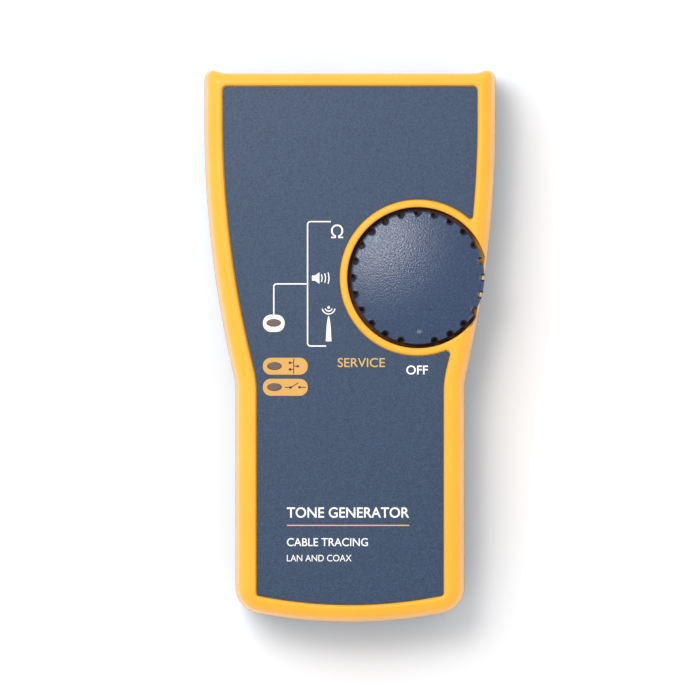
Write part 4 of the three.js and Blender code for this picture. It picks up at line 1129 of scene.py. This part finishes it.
barrel = [(BORE_R, 55.8), (BARREL_R, 55.8), (BARREL_R, 57.4), (COLLAR_R, 57.4), (COLLAR_R, 59.3),
          (BARREL_R, 59.3), (BARREL_R, 63.2)]
barrel += thread(*THREAD_Y, BARREL_R)
barrel += [(4.38, 68.2), (4.3, 68.45), (4.15, 68.58), (4.05, 68.6), (3.68, 68.6), (BORE_R, 68.5)]
coax_piece(turned("barrel", barrel, 72), "Coax_Barrel", "coax_barrel", "nickel")


def hexagon(d):
    """The nut's outline at inset d."""
    r = NUT_R - d / math.cos(math.pi / 6)
    turns = [math.pi / 2 + math.pi / 3 * k for k in range(6)]
    return [(r * math.cos(t), r * math.sin(t)) for t in turns]


nut_low, nut_high = NUT_Y
nut = loft("nut", hexagon, [(nut_low, 0), (nut_high, 0)])
chamfer = [(0, nut_low), (5.9, nut_low), (6.55, 61.25), (6.55, 62.65), (5.9, nut_high), (0, nut_high)]
keep(nut, turned("chamfer", chamfer, 72))
cut(nut, turned("bore", [(0, 59), (4.85, 59), (4.85, 62.7), (5.2, 63.05), (5.2, 64), (0, 64)]))
coax_piece(nut, "Coax_Nut", "coax_nut", "nickel")
insulator = [(1.05, 56.0), (3.5, 56.0), (3.5, 67.3), (3.4, 67.6), (3.1, 67.8), (1.5, 67.8), (1.15, 67.6),
             (1.05, 67.3)]
coax_piece(turned("insulator", insulator, 48), "Coax_Insulator", "coax_insulator", "inner_white")

# ---- CAD nodes that stay ----

# How far the corners of the plainer ones are rounded.
SOFTENED = dict(connector_panel=0.3, jack_housing=0.22, battery_snap=0.35, microcontroller=0.12,
                line_driver_chip=0.1, tone_transformer_core=0.25, tone_transformer_coil=0.6, crystal=0.35,
                capacitor_1=0.4, capacitor_2=0.4, circuit_board=0.1)
SOFTEN_ANGLE = 38

for node, width in SOFTENED.items():
    bevel = frame["nodes"][node].modifiers.new("soft", "BEVEL")
    bevel.width = width * MM
    bevel.segments = 3
    bevel.limit_method = "ANGLE"
    bevel.angle_limit = math.radians(SOFTEN_ANGLE)

slots = {row["node"]: row["material_slot"] for row in frame["record"]["subparts"]}
for node, obj in frame["nodes"].items():
    if not obj.hide_render:
        for material_slot in obj.material_slots:
            material_slot.material = FINISH[slots[node]]

# ---- stage ----

FLOOR_HALF = 900
# The camera stands four metres off, and the lens makes the picture WIDTH metres wide there.
SENSOR = 36
DISTANCE = 4
WIDTH = 0.1797
LIGHT_TARGET = Vector((0, 0, 0.02))
# The surroundings' strength at the horizon and overhead.
HORIZON = 1.6
ZENITH = 0.35

corners = [(x * FLOOR_HALF, y * FLOOR_HALF, 0) for x, y in ((-1, -1), (1, -1), (1, 1), (-1, 1))]
floor = build("Floor", corners, [(0, 1, 2, 3)])
floor.data.transform(Matrix.Scale(MM, 4))
floor.data.materials.append(material("floor_paper", (0.908, 0.928, 0.955), 0.8, tint=0.004, tint_scale=8))

camera = linked("Camera", bpy.data.cameras.new("Camera"))
camera.location = (0, -0.00087, 4.033)
camera.data.sensor_width = SENSOR
camera.data.lens = SENSOR * DISTANCE / WIDTH
bpy.context.scene.camera = camera


def area(name, location, size, power):
    """A square lamp turned towards the object."""
    light = bpy.data.lights.new(name, "AREA")
    light.shape = "SQUARE"
    light.size = size
    light.energy = power
    obj = linked(name, light)
    obj.location = location
    obj.rotation_euler = (LIGHT_TARGET - Vector(location)).to_track_quat("-Z", "Y").to_euler()


def surroundings():
    """A white world that dims from the horizon up."""
    world = bpy.data.worlds.new("World")
    world.use_nodes = True
    nodes, links = world.node_tree.nodes, world.node_tree.links
    background = nodes["Background"]
    background.inputs["Color"].default_value = (1, 1, 1, 1)
    sky = nodes.new("ShaderNodeTexCoord")
    height = nodes.new("ShaderNodeSeparateXYZ")
    fade = nodes.new("ShaderNodeMapRange")
    fade.inputs["To Min"].default_value = HORIZON
    fade.inputs["To Max"].default_value = ZENITH
    links.new(sky.outputs["Generated"], height.inputs["Vector"])
    links.new(height.outputs["Z"], fade.inputs["Value"])
    links.new(fade.outputs["Result"], background.inputs["Strength"])
    bpy.context.scene.world = world


area("Key", (-0.32, 0.32, 0.89), 0.6, 4.4)
area("Sheen", (-0.14, 0.19, 0.9), 0.2, 1.9)
surroundings()
bpy.context.scene.view_settings.view_transform = "Standard"
